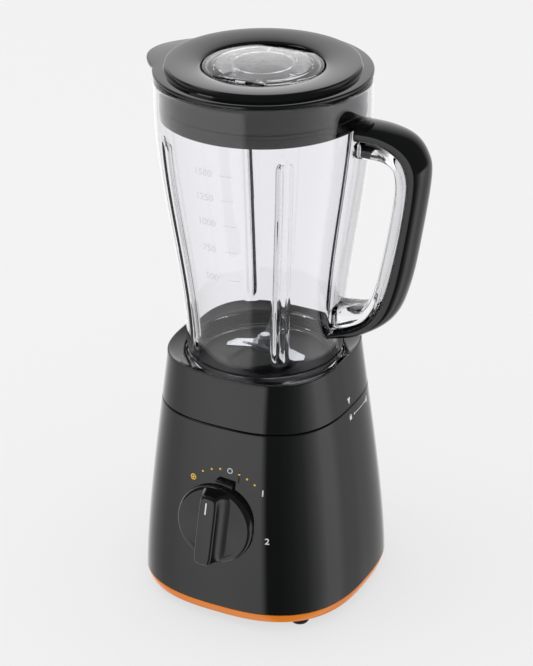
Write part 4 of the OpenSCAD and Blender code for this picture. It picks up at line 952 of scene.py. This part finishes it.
# %% Lid seal
seal = bmesh.new()
lips = [(69.55, 372.0), (70.9, 372.1), (71.1, 372.6), (71.2, 374.2), (70.95, 374.8),
        (70.95, 375.2), (71.2, 375.8), (71.1, 377.4), (70.9, 377.9), (69.55, 378.0)]
skin(seal, [circle_ring(r, z, 144) for r, z in lips], closed=True)
seal_piece = finish_piece("lid_lip_seal", seal, "black_rubber", "lid", ["lid_seal"])
seal_piece.data.materials[0] = gloss_plastic("polished_silicone_black", "0a0a0b", 0.06, 0.12, 0.1)

# %% [markdown]
# ## Filler cap
# The clear cap is a shallow dome with two flats for the fingers, and a tube below it that guides
# it in the filler hole. An inner ring and eight ribs stiffen the dome from below.

# %% Filler cap
CAP_R, CAP_FLAT, CAP_Z, CAP_TOP, CAP_DOME, CAP_WALL = 42.0, 36.0, 390.8, 401.1, 3.4, 2.4
PLUG_R, PLUG_Z = 34.6, 382.8
CAP_POINTS = 144


def cap_ring(r, z, flat=CAP_FLAT):
    """A circle whose two sides across Y are cut flat with a soft corner."""
    ring = []
    for i in range(CAP_POINTS):
        a = math.tau * i / CAP_POINTS
        x, y = r * math.cos(a), r * math.sin(a)
        limit = flat * r / CAP_R
        y = math.copysign(min(abs(y), limit), y)
        ring.append(Vector((x, y, z)) * MM)
    return ring


skin_out = [(CAP_R - CAP_WALL, CAP_Z), (CAP_R - 0.5, CAP_Z), (CAP_R, CAP_Z + 0.5),
            (CAP_R, CAP_TOP - 1.4)]
skin_out += [(CAP_R - i, CAP_TOP - 1.4 + h) for i, h in turn_in(1.5, 1.5, 5)]
top_r = CAP_R - 1.5
skin_out += [(top_r * (1 - k / 12), CAP_TOP + 0.1 + (CAP_DOME - 0.1) * (1 - (1 - k / 12) ** 2))
             for k in range(1, 12)] + [(0.3, CAP_TOP + CAP_DOME)]
cap_piece = bmesh.new()
outer_rings = [cap_ring(r, z) for r, z in skin_out]
inner = [(0.3, CAP_TOP + CAP_DOME - CAP_WALL)]
inner += [((PLUG_R - CAP_WALL) * k / 8, CAP_TOP - CAP_WALL + CAP_DOME * (1 - (0.82 * k / 8) ** 2))
          for k in range(1, 9)]
inner += [(PLUG_R - CAP_WALL, PLUG_Z + 0.5), (PLUG_R - CAP_WALL + 0.5, PLUG_Z),
          (PLUG_R - 0.5, PLUG_Z), (PLUG_R, PLUG_Z + 0.5), (PLUG_R, CAP_TOP - 2.0),
          (PLUG_R + 1.0, CAP_TOP - 1.6), (CAP_R - CAP_WALL - 0.6, CAP_TOP - 1.9),
          (CAP_R - CAP_WALL, CAP_TOP - 2.6)]
inner_rings = [cap_ring(r, z) if r > PLUG_R + 0.5 else circle_ring(r, z, CAP_POINTS)
               for r, z in inner]
skin(cap_piece, outer_rings + inner_rings, closed=True)
collet = [(20.0, 392.0), (20.0, 400.6), (22.0, 400.6), (22.0, 392.0)]
skin(cap_piece, [circle_ring(r, z, 96) for r, z in collet], closed=True)
RIB_TURNS = (20, 70, 110, 160, 200, 250, 290, 340)
for turn in RIB_TURNS:
    sector(cap_piece, 22.6, 31.4, 394.0, 399.4, turn, 2.4, steps=2)
finish_piece("filler_cap_clear", cap_piece, "clear_copolyester", "cap", ["filler_cap"],
             sharp_deg=45)
